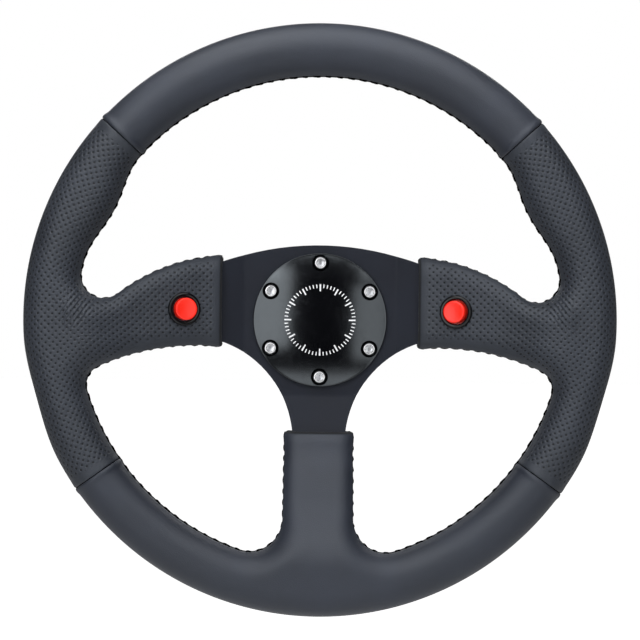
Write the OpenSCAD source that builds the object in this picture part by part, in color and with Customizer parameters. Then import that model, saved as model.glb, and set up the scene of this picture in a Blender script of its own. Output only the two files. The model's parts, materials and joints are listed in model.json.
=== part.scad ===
// Three-spoke steering wheel with two push-buttons.
// The wheel stands upright in the XZ plane. Its axis is Y and its front faces -Y.
// The origin is the centre of the bolt circle, on the rear face of the hub.
// Outlines are worked out in the plane of the wheel as [x, z] points.

/* [Rim] */
// Outer diameter over the leather
rim_d = 350; // [340:2:360]
// Diameter of the leather-covered tube
tube_d = 31; // [29:0.5:32]
// Extra width of the thumb grip above each side spoke
thumb_w = 5.8; // [0:0.2:7]
// Depth of the finger dip outside each side spoke
finger_dip = 1.7; // [0:0.1:2]
// Thickness of the leather
leather_t = 1.3; // [1:0.1:1.6]
// Gap between two leather panels at a seam
seam_gap = 0.3; // [0.2:0.1:0.5]
// Angle above the side spokes where the top panel starts
seam_up = 42.2; // [41:0.2:44]
// Angle below the side spokes where the bottom panel starts
seam_down = 35.2; // [32:0.2:38]

/* [Spokes] */
// Thickness of the spoke plate
plate_t = 4; // [3:0.5:5]
// Angle by which the spokes lean forward
spoke_angle = 22; // [16:1:24]
// Distance of the bend lines from the axis
bend_in = 47; // [45:1:49]
// Height of the plate above the axis
plate_top = 46; // [45:0.5:47]
// Radius of the arc along the top of the plate
plate_top_r = 173; // [168:1:178]
// Width of the plate in the lower spoke
foot_plate_w = 31.4; // [28:0.2:33]

/* [Padded spoke ends] */
// Distance from the axis to the ends of the side paddings
pad_end = 60; // [58:0.5:62]
// Distance from the axis to the end of the bottom padding
foot_end = 68; // [66:0.5:72]
// Thickness of the side paddings
pad_t = 15; // [13:0.5:17]
// Width of the bottom padding
foot_w = 42.4; // [40:0.2:44]
// Radius of the corners above the side spokes
top_fillet = 13; // [11:0.5:15]
// Radius of the corners below the side spokes
side_fillet = 12; // [10:0.5:14]
// Radius of the corners beside the bottom spoke
foot_fillet = 19; // [16:0.5:21]

/* [Hub] */
// Bolt circle diameter
bolt_pcd = 70; // [70:1:70]
// Number of screws
bolt_n = 6; // [6:1:6]
// Screw thread diameter
bolt_d = 5; // [5:1:5]
// Length of thread that stands out behind the hub
bolt_reach = 12; // [8:1:16]
// Diameter of the opening in the middle of the plate
hub_bore_d = 50; // [46:1:54]
// Diameter of the centre cover
cover_d = 82; // [80:0.5:84]
// Height of the cover's dome
cover_h = 7.4; // [6.8:0.2:8]
// Thickness of the cover at its edge
cover_edge = 2.4; // [2:0.1:2.8]

/* [Buttons] */
// Distance of a button from the axis, along the side spoke
button_x = 84.6; // [82:0.2:86]
// Height of a button above the axis
button_z = 5.7; // [4:0.1:7]
// Diameter of the bezel
bezel_d = 20; // [19:0.5:21]
// Diameter of the cap
cap_d = 15; // [14:0.2:15]
// Travel of the cap
travel = 1.8; // [1.2:0.2:2]

/* [Hidden] */
$fn = 96;
slope = tan(spoke_angle);
rim_r = rim_d / 2;
tube_r = tube_d / 2;
tube_axis_r = rim_r - tube_r;
inner_r = rim_r - tube_d;

// The spoke's mid-plane leaves the hub at bend_in and meets the rim's plane at bend_out.
bend_run = 16;
bend_out = inner_r - bend_run / 2;
rim_y = -plate_t / 2 - slope * (bend_out - bend_in);

// Thumb grips and finger dips, by their angle above the horizontal
thumb_e = 27.5;
thumb_half = seam_up - thumb_e;
finger_e = -16;
finger_half = 13;

// The side paddings' edges are arcs about these centres.
top_arc = [53, -65];
top_arc_r = 104.3;
low_arc = [75, -150];
low_arc_r = 133.5;

// The tube swells from the thin padding between these distances from the axis.
swell_from = 105;
swell_to = 148;
pad_soft = 11;
foam_gap = 0.4;
foam_inset = leather_t + foam_gap;
insert_gap = 0.1;

// Rim ring of channel section, open towards the axis
ring_in_r = 152;
ring_out_r = 164;
ring_wall = 2;
ring_h = plate_t + 2 * ring_wall;
tab_end_r = ring_out_r - ring_wall - 1;
tab_from = 112;
tab_top = 0;
tab_low = -24;
rivet_r = 157;
rivet_d = 4;
rivet_head_d = 7;
rivet_head_h = 1.5;
side_rivets = [-6, -18];
foot_rivets = [-8, 8];

// The concave arcs between the side spokes and the lower spoke
web_arc = [82.3, -76.6];
web_arc_r = web_arc[0] - foot_plate_w / 2;

// Screws
head_d = 8.5;
head_h = 3;
seat_d = 10.4;
seat_floor = 1;
socket_af = 4;
bolt_clear = 0.25;
shank_d = 5.2;

// Push-button, measured along its own axis from the spoke's mid-plane
pad_half = pad_t / 2;
barrel_d = 15.8;
barrel_back = 16;
barrel_gap = 0.2;
cap_gap = 0.15;
stem_gap = 0.06;
flange_h = 2.2;
cup_floor = 3;
web_t = 1.5;
chamber_d = 12.6;
stem_d = 5;
contact_top = cup_floor - web_t - 0.1;
cap_low = 5;
cap_top = 13.2;
nut_af = 19;
nut_h = 4;
washer_t = 1;
washer_d = 21;
disc_d = 10;
disc_t = 0.8;
spring_d = 10.8;
spring_wire = 0.8;
spring_turns = 4;
insulator_front = -6;
terminal_x = 3;
blade_w = 2.8;
blade_t = 0.8;
blade_back = -23;

// Numbers of steps in the mesh of the padded parts
across = 8;
neck_steps = 10;
pad_rows = 7;
foot_steps = 4;
foot_rows = 5;
halvings = 22;
on_edge = 1e-4;

// Plain helpers
function mix(a, b, u) = a * (1 - u) + b * u;
function ease(u) = let (c = min(1, max(0, u))) c * c * (3 - 2 * c);
function hump(u) = abs(u) < 1 ? pow(cos(90 * u), 2) : 0;
function elevation(p) = asin(p[1] / norm(p));
function last(list) = list[len(list) - 1];
function flip(q) = [for (i = [len(q) - 1:-1:0]) q[i]];
function spaced(a, b, n, crowd) = [for (i = [1:n]) mix(a, b, pow(i / n, crowd))];

// Outline of the padded rim and spoke ends. Each function gives how deep a point lies
// behind one edge. A round corner joins two edges.
function outer_edge_r(e) = rim_r - finger_dip * hump((e - finger_e) / finger_half);
function inner_edge_r(e) = inner_r - thumb_w * hump((e - thumb_e) / thumb_half);
function past_rim(p) = norm(p) - inner_edge_r(elevation(p));
function past_top(p) = top_arc_r - norm(p - top_arc);
function past_low(p) = norm(p - low_arc) - low_arc_r;
function past_foot(p) = foot_w / 2 - p[0];

// Centre of a corner's circle, where circles about the axis and about c meet
function meet(r0, c, r1) =
    let (d = norm(c), a = (r0 * r0 - r1 * r1 + d * d) / 2 / d, h = sqrt(r0 * r0 - a * a))
    (a * c + h * [-c[1], c[0]]) / d;
top_corner = meet(inner_r - top_fillet, top_arc, top_arc_r + top_fillet);
side_corner = meet(inner_r - side_fillet, low_arc, low_arc_r - side_fillet);
foot_corner_x = foot_w / 2 + foot_fillet;
foot_corner = [foot_corner_x, -sqrt(pow(inner_r - foot_fillet, 2) - pow(foot_corner_x, 2))];

// Inside a corner's wedge, between the ways u and v to its two edges, depth is
// measured from the corner's circle.
function cross2(a, b) = a[0] * b[1] - a[1] * b[0];
function corner(p, c, r, v, plain) =
    let (w = p - c, turn = cross2(c, v))
    cross2(w, v) / turn > 0 && cross2(c, w) / turn > 0 ? norm(w) - r : plain;
function depth_above(p) = corner(p, top_corner, top_fillet, top_arc - top_corner,
    max(past_rim(p), past_top(p)));
function depth_below(p) = by_side(p)
    ? corner(p, side_corner, side_fillet, side_corner - low_arc, max(past_rim(p), past_low(p)))
    : corner(p, foot_corner, foot_fillet, [-1, 0], max(past_rim(p), past_foot(p)));
function by_side(p) = elevation(p) > -45;
function right_half(p) = [abs(p[0]), p[1]];
function edge_depth(p) = let (q = right_half(p))
    min(depth_above(q), depth_below(q), outer_edge_r(elevation(q)) - norm(q));

// Half-thickness and mid-plane of the padded parts at a point of the outline
function swell(p) = ease((norm(p) - swell_from) / (swell_to - swell_from));
function half_depth(p, inset) =
    let (full = mix(pad_half / cos(spoke_angle), tube_r, swell(p)) - inset,
        soft = mix(pad_soft, tube_r, swell(p)) - inset,
        q = min(1, (edge_depth(p) - inset) / soft))
    q < on_edge ? 0 : full * sqrt(q * (2 - q));
function bend_rise(t) = t <= 0 ? 0 : t < bend_run ? t * t / 2 / bend_run : t - bend_run / 2;
function spoke_run(p) = by_side(p) ? abs(p[0]) : abs(p[1]);
function mid_y(p) =
    let (u = ease((norm(p) - 100) / (inner_r - 100)))
    rim_y + slope * bend_rise(inner_r - mix(spoke_run(p), norm(p), u));
function front_of(p, inset) = [p[0], mid_y(p) - half_depth(p, inset), p[1]];
function back_of(p, inset) = [p[0], mid_y(p) + half_depth(p, inset), p[1]];

// The point between a padded point and an open point where the outline passes
function edge_between(solid, open, inset, n = halvings) =
    let (m = (solid + open) / 2)
    n == 0 ? m
    : edge_depth(m) > inset ? edge_between(m, open, inset, n - 1)
    : edge_between(solid, m, inset, n - 1);
function on_ray(r, th) = r * [cos(th), sin(th)];
function fillet_at(th) = th > 0 ? top_fillet : th < -seam_down ? foot_fillet : side_fillet;
function rim_end(th, inset) =
    edge_between(on_ray(tube_axis_r, th), on_ray(inner_r - fillet_at(th), th), inset);

neck_up = elevation(top_corner) - 0.9 * asin(top_fillet / norm(top_corner));
neck_down = elevation(side_corner) + 0.6 * asin(side_fillet / norm(side_corner));
neck_foot = elevation(foot_corner) - 0.9 * asin(foot_fillet / norm(foot_corner));

// A column of points across the tube, from its outer edge to the point q
function column(th, q, inset) =
    let (o = on_ray(outer_edge_r(elevation(q)) - inset, th))
    [for (j = [0:across]) mix(o, q, (1 - cos(180 * j / across)) / 2)];
function angle_of(q) = atan2(q[1], q[0]);
function columns(ths, inset) = [for (th = ths) column(th, rim_end(th, inset), inset)];

// Side panel: columns below the spoke, across it and above it, then rows along it
seam_half = seam_gap / 2 / tube_axis_r * 180 / PI;
function side_neck(inset) =
    let (a = rim_end(neck_down, inset), b = rim_end(neck_up, inset))
    [for (k = [0:neck_steps]) mix(a, b, (1 - cos(180 * k / neck_steps)) / 2)];
function side_columns(inset, low, up) = concat(
    flip(columns(spaced(neck_down, low, 6, 1.4), inset)),
    [for (q = side_neck(inset)) column(angle_of(q), q, inset)],
    columns(spaced(neck_up, up, 10, 1.6), inset));
function arc_z(c, r, x) = c[1] + sqrt(r * r - pow(x - c[0], 2));
function row_top(x, inset) =
    edge_between([x, 0], [x, arc_z(top_arc, top_arc_r, x) + 1.7 * top_fillet], inset);
function row_low(x, inset) =
    edge_between([x, 0], [x, arc_z(low_arc, low_arc_r, x) - side_fillet], inset);
function side_rows(inset, end) =
    let (neck = side_neck(inset), a = neck[0][0], b = neck[neck_steps][0])
    concat([neck], [for (i = [1:pad_rows])
        let (low = row_low(mix(a, end, i / pad_rows), inset),
            top = row_top(mix(b, end, i / pad_rows), inset))
        [for (k = [0:neck_steps]) mix(low, top, (1 - cos(180 * k / neck_steps)) / 2)]]);

// Right half of the bottom panel
function foot_neck(inset) =
    let (b = rim_end(neck_foot, inset))
    [for (k = [0:foot_steps]) [b[0] * sin(90 * k / foot_steps), b[1]]];
function foot_columns(inset, up) = concat(
    [for (q = foot_neck(inset)) column(angle_of(q), q, inset)],
    columns(spaced(neck_foot, up, 11, 1.5), inset));
function foot_side(z, inset) =
    edge_between([0, z], [foot_corner_x, z], inset)[0];
function foot_row_list(inset, end) =
    let (neck = foot_neck(inset))
    concat([neck], [for (i = [1:foot_rows])
        let (z = mix(neck[0][1], -end, i / foot_rows), x = foot_side(z, inset))
        [for (k = [0:foot_steps]) [x * sin(90 * k / foot_steps), z]]]);

// Quads between neighbouring lines of points, clockwise seen from the front
function strip(a, b) = [for (j = [0:len(a) - 2]) [a[j], a[j + 1], b[j + 1], b[j]]];
function sheet(lines) = [for (i = [0:len(lines) - 2]) each strip(lines[i], lines[i + 1])];
function fronts(quads, inset) = [for (q = quads) [for (p = q) front_of(p, inset)]];
function backs(quads, inset) = [for (q = quads) flip([for (p = q) back_of(p, inset)])];
function skin(lines, inset) = concat(fronts(sheet(lines), inset), backs(sheet(lines), inset));
function flipped(quads) = [for (q = quads) flip(q)];
function mirrored(quads) = [for (q = quads) flip([for (p = q) [-p[0], p[1], p[2]]])];

// End wall of a shell, between an outer and an inner line of points
function hem(outer, inner, a, b) = concat(
    [for (q = strip(outer, inner)) [front_of(q[0], a), front_of(q[1], a),
        front_of(q[2], b), front_of(q[3], b)]],
    [for (q = strip(outer, inner)) [back_of(q[3], b), back_of(q[2], b),
        back_of(q[1], a), back_of(q[0], a)]]);
// End wall of a full body, between its front and its back
function cap_wall(line, a) = [for (j = [0:len(line) - 2])
    [front_of(line[j], a), front_of(line[j + 1], a), back_of(line[j + 1], a), back_of(line[j], a)]];
function tidy(q) = [for (i = [0:len(q) - 1]) if (norm(q[i] - q[(i + 1) % len(q)]) > 1e-6) q[i]];

module closed_mesh(quads) {
    faces = [for (q = quads) let (t = tidy(q)) if (len(t) > 2) t];
    sizes = [for (f = faces) len(f)];
    offsets = [for (i = 0, n = 0; i < len(sizes); n = n + sizes[i], i = i + 1) n];
    polyhedron(points = [for (f = faces) each f],
        faces = [for (i = [0:len(faces) - 1]) [for (j = [0:sizes[i] - 1]) offsets[i] + j]]);
}

// Quads of a leather shell, between its outer and inner faces
side_low = -seam_down + seam_half;
side_up = seam_up - seam_half;
foot_up = -seam_down - seam_half;
function side_shell() =
    let (oc = side_columns(0, side_low, side_up), ic = side_columns(leather_t, side_low, side_up),
        orow = side_rows(0, pad_end), irow = side_rows(leather_t, pad_end))
    concat(skin(oc, 0), flipped(skin(ic, leather_t)),
        skin(flip(orow), 0), flipped(skin(flip(irow), leather_t)),
        flipped(hem(oc[0], ic[0], 0, leather_t)), hem(last(oc), last(ic), 0, leather_t),
        flipped(hem(last(orow), last(irow), 0, leather_t)));
function foot_shell_half() =
    let (oc = foot_columns(0, foot_up), ic = foot_columns(leather_t, foot_up),
        orow = foot_row_list(0, foot_end), irow = foot_row_list(leather_t, foot_end))
    concat(skin(oc, 0), flipped(skin(ic, leather_t)),
        skin(flip(orow), 0), flipped(skin(flip(irow), leather_t)),
        hem(last(oc), last(ic), 0, leather_t),
        flipped(hem(last(orow), last(irow), 0, leather_t)));

// Right half of the foam, which fills the leather
foam_recess = 0.6;
function foam_half() =
    let (low = -seam_down, side = side_rows(foam_inset, pad_end + foam_recess),
        foot = foot_row_list(foam_inset, foot_end + foam_recess))
    concat(skin(foot_columns(foam_inset, low), foam_inset),
        skin(flip(foot), foam_inset), flipped(cap_wall(last(foot), foam_inset)),
        skin(side_columns(foam_inset, low, seam_up), foam_inset),
        skin(flip(side), foam_inset), flipped(cap_wall(last(side), foam_inset)),
        skin(columns(concat([seam_up], spaced(seam_up, 90, 9, 1)), foam_inset), foam_inset));

// Bodies turned about the wheel's axis: the profile's height is the distance forward
module about_axis() rotate([90, 0, 0]) children();
// Flat outlines in the wheel's plane, made solid from front to back
module through(front = 80, back = 20)
    rotate([90, 0, 0]) translate([0, 0, -back]) linear_extrude(front + back) children();

// Side view of the bent sheet, from the axis out along one spoke
function bend_miter(t) = t / 2 * tan(spoke_angle / 2);
module half_profile(t, far) {
    m = bend_miter(t);
    polygon([[-1, -plate_t / 2 + t / 2], [bend_in + m, -plate_t / 2 + t / 2],
        [bend_out + m, rim_y + t / 2], [far, rim_y + t / 2],
        [far, rim_y - t / 2], [bend_out - m, rim_y - t / 2],
        [bend_in - m, -plate_t / 2 - t / 2], [-1, -plate_t / 2 - t / 2]]);
}
module side_sheet(t)
    translate([0, 0, -bend_in]) linear_extrude(2 * bend_in)
        union() {
            half_profile(t, rim_r);
            mirror([1, 0]) half_profile(t, rim_r);
        }
module foot_sheet(t)
    rotate([0, 90, 0]) translate([0, 0, -bend_in]) linear_extrude(2 * bend_in)
        half_profile(t, rim_r);

// Outlines of the plate, each grown by g where the foam leaves room for it
module web_arcs(g)
    for (s = [-1, 1]) translate([s * web_arc[0], web_arc[1]]) circle(web_arc_r - g);
module side_outline(g)
    difference() {
        intersection() {
            circle(tab_end_r + g);
            union() {
                intersection() {
                    translate([0, plate_top - plate_top_r]) circle(plate_top_r + g);
                    translate([-rim_r, tab_low - g]) square([rim_d, 100]);
                }
                translate([-rim_r, tab_low - g]) square([rim_r - tab_from, tab_top - tab_low + 2 * g]);
                translate([tab_from, tab_low - g]) square([rim_r - tab_from, tab_top - tab_low + 2 * g]);
            }
        }
        web_arcs(g);
    }
module foot_outline(g)
    intersection() {
        circle(tab_end_r + g);
        union() {
            difference() {
                translate([-bend_in, web_arc[1]]) square([2 * bend_in, -web_arc[1] - 10]);
                web_arcs(g);
            }
            translate([-foot_plate_w / 2 - g, -rim_r])
                square([foot_plate_w + 2 * g, rim_r + web_arc[1]]);
        }
    }
module plate_blank(g) {
    intersection() {
        side_sheet(plate_t + 2 * g);
        through() side_outline(g);
    }
    intersection() {
        foot_sheet(plate_t + 2 * g);
        through() foot_outline(g);
    }
}

// Rivets lie on the ring's circle, two in each spoke.
rivet_spots = concat(
    [for (z = side_rivets) [sqrt(rivet_r * rivet_r - z * z), z]],
    [for (z = side_rivets) [-sqrt(rivet_r * rivet_r - z * z), z]],
    [for (x = foot_rivets) [x, -sqrt(rivet_r * rivet_r - x * x)]]);
module at_rivets() for (p = rivet_spots) translate([p[0], rim_y, p[1]]) rotate([90, 0, 0]) children();
module at_bolts() for (i = [0:bolt_n - 1]) about_axis() rotate([0, 0, 90 + i * 360 / bolt_n])
    translate([bolt_pcd / 2, 0, 0]) children();

// Places a button's parts on the right side spoke, their axis along its normal
button_y = rim_y + slope * (bend_out - button_x);
module on_spoke()
    translate([button_x, button_y, button_z]) rotate([0, 0, -spoke_angle]) rotate([90, 0, 0]) children();
module hole(d, low, high) translate([0, 0, low]) cylinder(d = d, h = high - low);

module spoke_plate() {
    color([0.15, 0.15, 0.18]) difference() {
        plate_blank(0);
        through() circle(d = hub_bore_d);
        at_bolts() hole(bolt_d + 2 * bolt_clear, -1, plate_t + 1);
        at_rivets() hole(rivet_d, -ring_h, ring_h);
        on_spoke() hole(barrel_d + 2 * barrel_gap, -10, 10);
        mirror([1, 0, 0]) on_spoke() hole(barrel_d + 2 * barrel_gap, -10, 10);
    }
}

module rim_ring() {
    color([0.6, 0.6, 0.62]) difference() {
        translate([0, rim_y, 0]) about_axis() rotate_extrude() polygon([
            [ring_in_r, -ring_h / 2], [ring_out_r, -ring_h / 2], [ring_out_r, ring_h / 2],
            [ring_in_r, ring_h / 2], [ring_in_r, plate_t / 2],
            [ring_out_r - ring_wall, plate_t / 2], [ring_out_r - ring_wall, -plate_t / 2],
            [ring_in_r, -plate_t / 2]]);
        at_rivets() hole(rivet_d, -ring_h, ring_h);
    }
}

module rivet() {
    hole(rivet_d, -ring_h / 2, ring_h / 2);
    hole(rivet_head_d, ring_h / 2, ring_h / 2 + rivet_head_h);
    hole(rivet_head_d, -ring_h / 2 - rivet_head_h, -ring_h / 2);
}
module rim_rivets() color([0.7, 0.7, 0.7]) at_rivets() rivet();

module rim_foam() {
    color([0.1, 0.1, 0.1]) difference() {
        closed_mesh(concat(foam_half(), mirrored(foam_half())));
        translate([0, rim_y, 0]) about_axis() rotate_extrude()
            translate([ring_in_r - insert_gap, -ring_h / 2 - insert_gap])
            square([ring_out_r - ring_in_r + 2 * insert_gap, ring_h + 2 * insert_gap]);
        plate_blank(insert_gap);
        at_rivets() hole(rivet_head_d + 2 * insert_gap, -ring_h / 2 - rivet_head_h - insert_gap,
            ring_h / 2 + rivet_head_h + insert_gap);
        on_spoke() hole(barrel_d + 4 * barrel_gap, -20, 20);
        mirror([1, 0, 0]) on_spoke() hole(barrel_d + 4 * barrel_gap, -20, 20);
    }
}

leather_colour = [0.27, 0.28, 0.31];
module leather_top() {
    color(leather_colour) translate([0, rim_y, 0]) about_axis()
        rotate([0, 0, seam_up + seam_half])
        rotate_extrude(angle = 180 - 2 * (seam_up + seam_half)) translate([tube_axis_r, 0])
        difference() {
            circle(tube_r);
            circle(tube_r - leather_t);
        }
}
module leather_right() {
    color(leather_colour) difference() {
        closed_mesh(side_shell());
        on_spoke() hole(barrel_d + 4 * barrel_gap, -20, 20);
    }
}
module leather_left() mirror([1, 0, 0]) leather_right();
module leather_bottom() color(leather_colour)
    closed_mesh(concat(foot_shell_half(), mirrored(foot_shell_half())));

// Turned cover with a shallow dome, hollow behind, and a seat for each screw
dome_fall = cover_h - cover_edge;
dome_r = (cover_d * cover_d / 4 + dome_fall * dome_fall) / 2 / dome_fall;
cover_hollow_d = 46;
cover_wall = 2.6;
dome_steps = 14;
function dome_points(r, top) = [for (i = [dome_steps:-1:0])
    let (x = r * i / dome_steps) [x, top - dome_r + sqrt(dome_r * dome_r - x * x)]];
module centre_cover() {
    color([0.05, 0.05, 0.06]) difference() {
        translate([0, -plate_t, 0]) about_axis() rotate_extrude()
            polygon(concat([[0, 0]], [[cover_d / 2, 0]], dome_points(cover_d / 2, cover_h)));
        translate([0, -plate_t, 0]) about_axis() rotate_extrude()
            polygon(concat([[0, -1]], [[cover_hollow_d / 2, -1]],
                dome_points(cover_hollow_d / 2, cover_h - cover_wall)));
        at_bolts() hole(bolt_d + 2 * bolt_clear, plate_t - 1, plate_t + cover_h);
        at_bolts() hole(seat_d, plate_t + seat_floor, plate_t + cover_h);
    }
}

module screw() {
    difference() {
        union() {
            hole(bolt_d, -bolt_reach, 1);
            hole(shank_d, 0, plate_t + seat_floor + 1);
            hole(head_d, plate_t + seat_floor, plate_t + seat_floor + head_h - 0.6);
            translate([0, 0, plate_t + seat_floor + head_h - 0.6])
                cylinder(d1 = head_d, d2 = head_d - 1.2, h = 0.6);
        }
        translate([0, 0, plate_t + seat_floor + head_h - 1.9])
            cylinder(d = socket_af / cos(30), h = 3, $fn = 6);
    }
}
module cover_screws() color([0.85, 0.85, 0.87]) at_bolts() screw();

// Bezel: a flange on the leather, a cup for the cap and a threaded barrel behind
module bezel() {
    difference() {
        union() {
            hole(bezel_d, pad_half, pad_half + flange_h - 0.8);
            translate([0, 0, pad_half + flange_h - 0.8])
                cylinder(d1 = bezel_d, d2 = bezel_d - 1.6, h = 0.8);
            hole(barrel_d, -barrel_back, pad_half + 1);
        }
        hole(cap_d + 2 * cap_gap, cup_floor, pad_half + flange_h + 1);
        hole(stem_d + 2 * stem_gap, 0, pad_half);
        hole(chamber_d, -barrel_back - 1, cup_floor - web_t);
    }
}
module cap() {
    difference() {
        union() {
            hole(cap_d, cap_low, cap_top - 0.7);
            translate([0, 0, cap_top - 0.7]) cylinder(d1 = cap_d, d2 = cap_d - 1.4, h = 0.7);
        }
        difference() {
            hole(cap_d - 2.4, cap_low - 1, cap_top - 1.8);
            hole(stem_d, 0, cap_top);
        }
    }
    hole(stem_d, contact_top, cap_low + 1);
}
module contact_disc() hole(disc_d, contact_top - disc_t, contact_top);

// Helical return spring between the cup's floor and the cap's underside
spring_low = cup_floor;
spring_high = cap_top - 1.8;
spring_sides = 5;
spring_rings = spring_turns * 10;
function wire_point(i, k) =
    let (a = 360 * spring_turns * i / spring_rings, b = 360 * k / spring_sides,
        r = (spring_d - spring_wire) / 2 + spring_wire / 2 * cos(b),
        z0 = spring_low + spring_wire / 2 + 0.02, z1 = spring_high - spring_wire / 2 - 0.02)
    [r * cos(a), r * sin(a), mix(z0, z1, i / spring_rings) + spring_wire / 2 * sin(b)];
function ring_index(i, k) = i * spring_sides + k % spring_sides;
module spring() {
    polyhedron(
        points = [for (i = [0:spring_rings]) for (k = [0:spring_sides - 1]) wire_point(i, k)],
        faces = concat(
            [[for (k = [spring_sides - 1:-1:0]) ring_index(0, k)]],
            [for (i = [0:spring_rings - 1]) for (k = [0:spring_sides - 1])
                [ring_index(i, k), ring_index(i, k + 1), ring_index(i + 1, k + 1), ring_index(i + 1, k)]],
            [[for (k = [0:spring_sides - 1]) ring_index(spring_rings, k)]]));
}
module insulator() {
    difference() {
        hole(chamber_d, -barrel_back, insulator_front);
        for (s = [-1, 1]) translate([s * terminal_x, 0, 0])
            translate([-blade_t / 2, -blade_w / 2, -barrel_back - 1])
            cube([blade_t, blade_w, barrel_back]);
    }
}
terminal_top = contact_top - disc_t - travel - 0.1;
module terminals()
    for (s = [-1, 1]) translate([s * terminal_x, 0, 0]) {
        translate([-blade_t / 2, -blade_w / 2, blade_back])
            cube([blade_t, blade_w, terminal_top - 1 - blade_back]);
        translate([-1, -blade_w / 2, terminal_top - 1]) cube([2, blade_w, 1]);
    }
module washer() difference() {
    hole(washer_d, -pad_half - washer_t, -pad_half);
    hole(barrel_d + 2 * barrel_gap, -20, 0);
}
module nut() difference() {
    translate([0, 0, -pad_half - washer_t - nut_h]) cylinder(d = nut_af / cos(30), h = nut_h, $fn = 6);
    hole(barrel_d, -20, 0);
}

module right_bezel() color([0.04, 0.04, 0.04]) on_spoke() bezel();
module right_cap() color([0.95, 0.2, 0.15]) on_spoke() cap();
module right_contact() color([0.8, 0.6, 0.3]) on_spoke() contact_disc();
module right_spring() color([0.7, 0.7, 0.7]) on_spoke() spring();
module right_insulator() color([0.1, 0.1, 0.1]) on_spoke() insulator();
module right_terminals() color([0.8, 0.7, 0.4]) on_spoke() terminals();
module right_washer() color([0.7, 0.7, 0.7]) on_spoke() washer();
module right_nut() color([0.7, 0.7, 0.7]) on_spoke() nut();
module left_bezel() mirror([1, 0, 0]) right_bezel();
module left_cap() mirror([1, 0, 0]) right_cap();
module left_contact() mirror([1, 0, 0]) right_contact();
module left_spring() mirror([1, 0, 0]) right_spring();
module left_insulator() mirror([1, 0, 0]) right_insulator();
module left_terminals() mirror([1, 0, 0]) right_terminals();
module left_washer() mirror([1, 0, 0]) right_washer();
module left_nut() mirror([1, 0, 0]) right_nut();

spoke_plate();
rim_ring();
rim_rivets();
rim_foam();
leather_top();
leather_right();
leather_left();
leather_bottom();
centre_cover();
cover_screws();
right_bezel();
right_cap();
right_contact();
right_spring();
right_insulator();
right_terminals();
right_washer();
right_nut();
left_bezel();
left_cap();
left_contact();
left_spring();
left_insulator();
left_terminals();
left_washer();
left_nut();
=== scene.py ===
"""Dresses the three-spoke steering wheel. Sizes in the functions are millimetres; meshes are metres.
The wheel stands upright, its axis along Y and its front towards -Y."""
import json
import math

import bmesh
import bpy
import numpy as np
from mathutils import Matrix, Vector

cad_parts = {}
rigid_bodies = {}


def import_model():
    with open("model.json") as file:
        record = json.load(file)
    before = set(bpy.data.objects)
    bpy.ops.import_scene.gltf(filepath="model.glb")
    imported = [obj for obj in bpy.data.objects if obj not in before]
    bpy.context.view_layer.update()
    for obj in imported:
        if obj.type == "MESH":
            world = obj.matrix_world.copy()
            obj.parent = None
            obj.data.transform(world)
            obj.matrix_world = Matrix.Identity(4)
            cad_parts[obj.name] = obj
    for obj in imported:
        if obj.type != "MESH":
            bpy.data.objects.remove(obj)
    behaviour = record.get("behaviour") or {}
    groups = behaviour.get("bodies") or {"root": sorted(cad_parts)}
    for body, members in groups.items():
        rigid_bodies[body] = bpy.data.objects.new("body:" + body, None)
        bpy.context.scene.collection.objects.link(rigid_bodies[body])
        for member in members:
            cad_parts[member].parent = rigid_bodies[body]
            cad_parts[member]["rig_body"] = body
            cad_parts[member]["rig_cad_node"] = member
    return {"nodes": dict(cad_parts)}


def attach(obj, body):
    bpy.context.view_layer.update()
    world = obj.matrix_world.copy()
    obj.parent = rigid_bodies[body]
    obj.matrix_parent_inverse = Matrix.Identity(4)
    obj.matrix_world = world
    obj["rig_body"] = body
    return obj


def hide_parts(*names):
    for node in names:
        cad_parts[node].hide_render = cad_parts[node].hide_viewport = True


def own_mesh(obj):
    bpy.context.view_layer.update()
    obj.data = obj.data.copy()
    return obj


bl_info = {
    "name": "Steering Wheel Dresser",
    "version": (1, 0, 0),
    "blender": (4, 5, 0),
    "location": "View3D > Sidebar > Wheel",
    "description": "Builds the leather, stitching, hub and buttons of a steering wheel",
    "category": "Object",
}

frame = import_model()
MM = 0.001
WHEEL, RIGHT, LEFT = "wheel", "right_button", "left_button"

# Sizes of the CAD part, in millimetres
PLATE_T = 4.0
SPOKE_ANGLE = 22.0
RIM_R = 175.0
TUBE_R = 15.5
TUBE_AXIS_R = RIM_R - TUBE_R
INNER_R = RIM_R - 2 * TUBE_R
LEATHER_T = 1.3
SEAM_UP, SEAM_DOWN, SEAM_GAP = 42.2, 35.2, 0.3
THUMB_W, THUMB_E, THUMB_HALF = 5.8, 27.5, 14.7
DIP, DIP_E, DIP_HALF = 1.7, -16.0, 13.0
BEND_IN, BEND_RUN = 47.0, 16.0
BEND_OUT = INNER_R - BEND_RUN / 2
SLOPE = math.tan(math.radians(SPOKE_ANGLE))
RIM_Y = -PLATE_T / 2 - SLOPE * (BEND_OUT - BEND_IN)
PAD_HALF, PAD_SOFT = 7.5, 11.0
PAD_END, FOOT_END, FOOT_W = 60.0, 68.0, 42.4
TOP_FILLET, SIDE_FILLET, FOOT_FILLET = 13.0, 12.0, 19.0
TOP_ARC, TOP_ARC_R = np.array([53.0, -65.0]), 104.3
LOW_ARC, LOW_ARC_R = np.array([75.0, -150.0]), 133.5
SWELL_FROM, SWELL_TO = 105.0, 148.0
BOLT_R, SCREW_HOLE_R = 35.0, 2.75
COVER_R, COVER_H, COVER_EDGE = 41.0, 7.4, 2.4
SEAT_D, SEAT_FLOOR = 10.4, 1.0
BUTTON_X, BUTTON_Z = 84.6, 5.7
BARREL_R, BARREL_ROOM = 7.9, 0.3
BUTTON_Y = RIM_Y + SLOPE * (BEND_OUT - BUTTON_X)


# Outline of the padded parts. Points are (x, z), in millimetres.


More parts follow.
